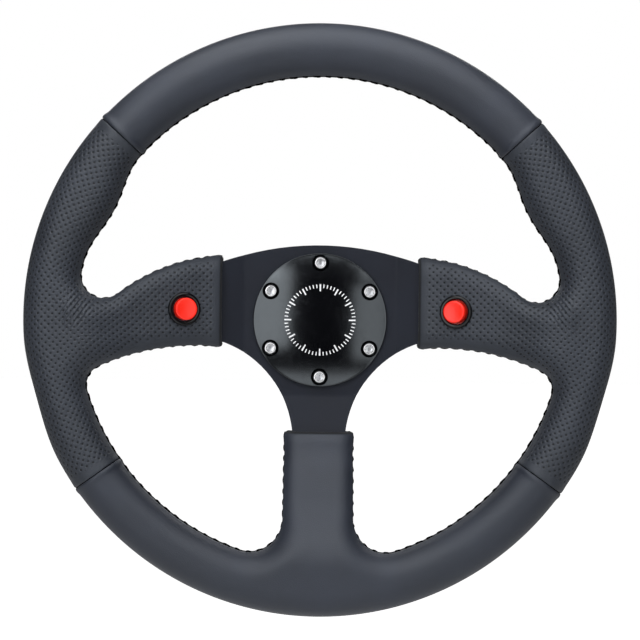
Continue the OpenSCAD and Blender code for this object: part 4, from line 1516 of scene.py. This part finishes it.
class SteeringInside(bpy.types.Operator):
    """Gives the parts inside the rim and behind the buttons their finishes"""

    bl_idname = "steering.inside"
    bl_label = "Inner parts"

    def execute(self, context):
        brass = brushed_metal("contact_brass", srgb(214, 178, 104), 0.3, False)
        steel = brushed_metal("bright_steel", srgb(196, 198, 202), 0.3)
        foam = plain_finish("moulded_foam", srgb(24, 24, 26), 0.85, 700.0, 0.0001)
        board = plain_finish("terminal_base", srgb(52, 44, 38), 0.5, 900.0, 0.00003)
        dress(frame["nodes"]["rim_ring"], steel)
        dress(frame["nodes"]["rim_rivets"], steel)
        dress(frame["nodes"]["rim_foam"], foam)
        for name in ("right", "left"):
            dress(frame["nodes"][name + "_contact"], brass)
            dress(frame["nodes"][name + "_terminals"], brass)
            dress(frame["nodes"][name + "_insulator"], board)
        return {"FINISHED"}


# Studio. Each soft box has its angles beside and above the camera, distance, width, height and power.
SOFT_BOXES = [
    ("left_box", -26, 6, 1.4, 0.55, 1.0, 7.6),
    ("right_box", 25, -1, 1.4, 0.42, 0.9, 3.4),
    ("top_box", -4, 43, 1.0, 1.1, 0.35, 5.7),
    ("upper_left_box", -32, 30, 1.0, 0.35, 0.35, 1.2),
    ("upper_right_box", 32, 30, 1.0, 0.35, 0.35, 1.3),
    ("overhead_box", -8, 75, 0.7, 0.9, 0.35, 4.4),
    ("low_box", 0, -35, 1.1, 0.9, 0.3, 2.0),
    ("rear_left_box", -164, 20, 1.3, 0.5, 0.7, 3.5),
    ("rear_right_box", 164, 24, 1.3, 0.5, 0.7, 4.0),
]


def soft_box(name, side, rise, distance, width, height, power):
    """A rectangular light aimed at the rim's centre, at two angles from the camera in degrees."""
    target = Vector((0, RIM_Y * MM, 0))
    a, e = math.radians(side), math.radians(rise)
    at = target + distance * Vector((math.sin(a) * math.cos(e), -math.cos(a) * math.cos(e), math.sin(e)))
    light = bpy.data.lights.new(name, "AREA")
    light.shape, light.size, light.size_y, light.energy = "RECTANGLE", width, height, power
    ob = bpy.data.objects.new(name, light)
    bpy.context.scene.collection.objects.link(ob)
    ob.location = at
    ob.rotation_euler = (target - at).to_track_quat("-Z", "Y").to_euler()
    ob.visible_camera = False


class SteeringStudio(bpy.types.Operator):
    """Sets the camera, the pale floor, the soft boxes and the white background"""

    bl_idname = "steering.studio"
    bl_label = "Studio"

    def execute(self, context):
        stage = context.scene.steering_stage
        scene = context.scene
        scene.view_settings.view_transform = "Standard"
        eye = Vector((0, RIM_Y * MM - stage.distance, 0))
        data = bpy.data.cameras.new("front_camera")
        camera = bpy.data.objects.new("front_camera", data)
        scene.collection.objects.link(camera)
        data.sensor_width = 36
        data.lens = 36 * stage.distance / stage.view_width
        data.clip_start, data.clip_end = 0.01, 50
        camera.location = eye
        camera.rotation_euler = (Matrix.Rotation(math.radians(90), 4, "X")
                                 @ Matrix.Rotation(stage.roll, 4, "Z")).to_euler()
        scene.camera = camera

        world = bpy.data.worlds.new("studio")
        scene.world = world
        world.use_nodes = True
        t = world.node_tree
        background = t.nodes["Background"]
        background.inputs["Color"].default_value = (1, 1, 1, 1)
        # The room is dim, with light from behind the wheel, and white to the camera
        way = node(t, "ShaderNodeSeparateXYZ")
        link(t, node(t, "ShaderNodeTexCoord").outputs["Generated"], way.inputs[0])
        behind = ramp(t, way.outputs[1], 0.85, 0.98)
        rear = ramp(t, way.outputs[1], 0.2, 0.9, stage.fill, 0.5)
        shown = math_node(t, "MAXIMUM", math_node(t, "MULTIPLY", behind, 0.5), stage.room)
        path = node(t, "ShaderNodeLightPath")
        glossy = math_node(t, "MAXIMUM", path.outputs["Is Glossy Ray"], path.outputs["Is Transmission Ray"])
        strength = node(t, "ShaderNodeMix", data_type="FLOAT")
        link(t, glossy, strength.inputs[0])
        link(t, rear, strength.inputs[2])
        link(t, shown, strength.inputs[3])
        link(t, math_node(t, "MAXIMUM", strength.outputs[0], path.outputs["Is Camera Ray"]),
             background.inputs["Strength"])

        bpy.ops.object.select_all(action="DESELECT")
        bpy.ops.mesh.primitive_plane_add(size=14, location=(0, 7 - stage.floor_front, -stage.floor_drop))
        floor = context.object
        floor.name = "studio_floor"
        m, t, bsdf = material("pale_floor")
        bsdf.inputs["Base Color"].default_value = (0.8, 0.8, 0.8, 1)
        bsdf.inputs["Roughness"].default_value = 0.7
        bsdf.inputs["Emission Color"].default_value = (1, 1, 1, 1)
        path = node(t, "ShaderNodeLightPath")
        seen = path.outputs["Is Camera Ray"]
        mirrored = math_node(t, "MULTIPLY", path.outputs["Is Glossy Ray"], 0.2)
        link(t, math_node(t, "MAXIMUM", seen, mirrored), bsdf.inputs["Emission Strength"])
        dress(floor, m)

        for name, side, rise, distance, width, height, power in SOFT_BOXES:
            soft_box(name, side, rise, distance, width, height, power * stage.softbox)
        return {"FINISHED"}


class SteeringPanel(bpy.types.Panel):
    """Lists the steps and their sizes"""

    bl_idname = "VIEW3D_PT_steering"
    bl_label = "Steering Wheel"
    bl_space_type = "VIEW_3D"
    bl_region_type = "UI"
    bl_category = "Wheel"

    def draw(self, context):
        layout = self.layout
        for group in GROUPS:
            box = layout.box()
            settings = getattr(context.scene, group)
            for name in settings.__annotations__:
                box.prop(settings, name)
        for step in STEPS:
            layout.operator(step.bl_idname)


STEPS = [SteeringStudio, SteeringLeather, SteeringStitching, SteeringPlate, SteeringCover, SteeringScrews,
         SteeringBezels, SteeringCaps, SteeringSprings, SteeringNuts, SteeringInside]
GROUPS = {"steering_leather": LeatherSettings, "steering_hub": HubSettings,
          "steering_button": ButtonSettings, "steering_stage": StageSettings}


def register():
    for cls in [*GROUPS.values(), *STEPS, SteeringPanel]:
        bpy.utils.register_class(cls)
    for name, cls in GROUPS.items():
        setattr(bpy.types.Scene, name, bpy.props.PointerProperty(type=cls))


def unregister():
    for name in GROUPS:
        delattr(bpy.types.Scene, name)
    for cls in reversed([*GROUPS.values(), *STEPS, SteeringPanel]):
        bpy.utils.unregister_class(cls)


def main():
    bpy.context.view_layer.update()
    register()
    bpy.ops.steering.studio()
    bpy.ops.steering.leather()
    bpy.ops.steering.stitching()
    bpy.ops.steering.plate()
    bpy.ops.steering.cover()
    bpy.ops.steering.screws()
    bpy.ops.steering.bezels()
    bpy.ops.steering.caps()
    bpy.ops.steering.springs()
    bpy.ops.steering.nuts()
    bpy.ops.steering.inside()


if __name__ == "__main__":
    main()
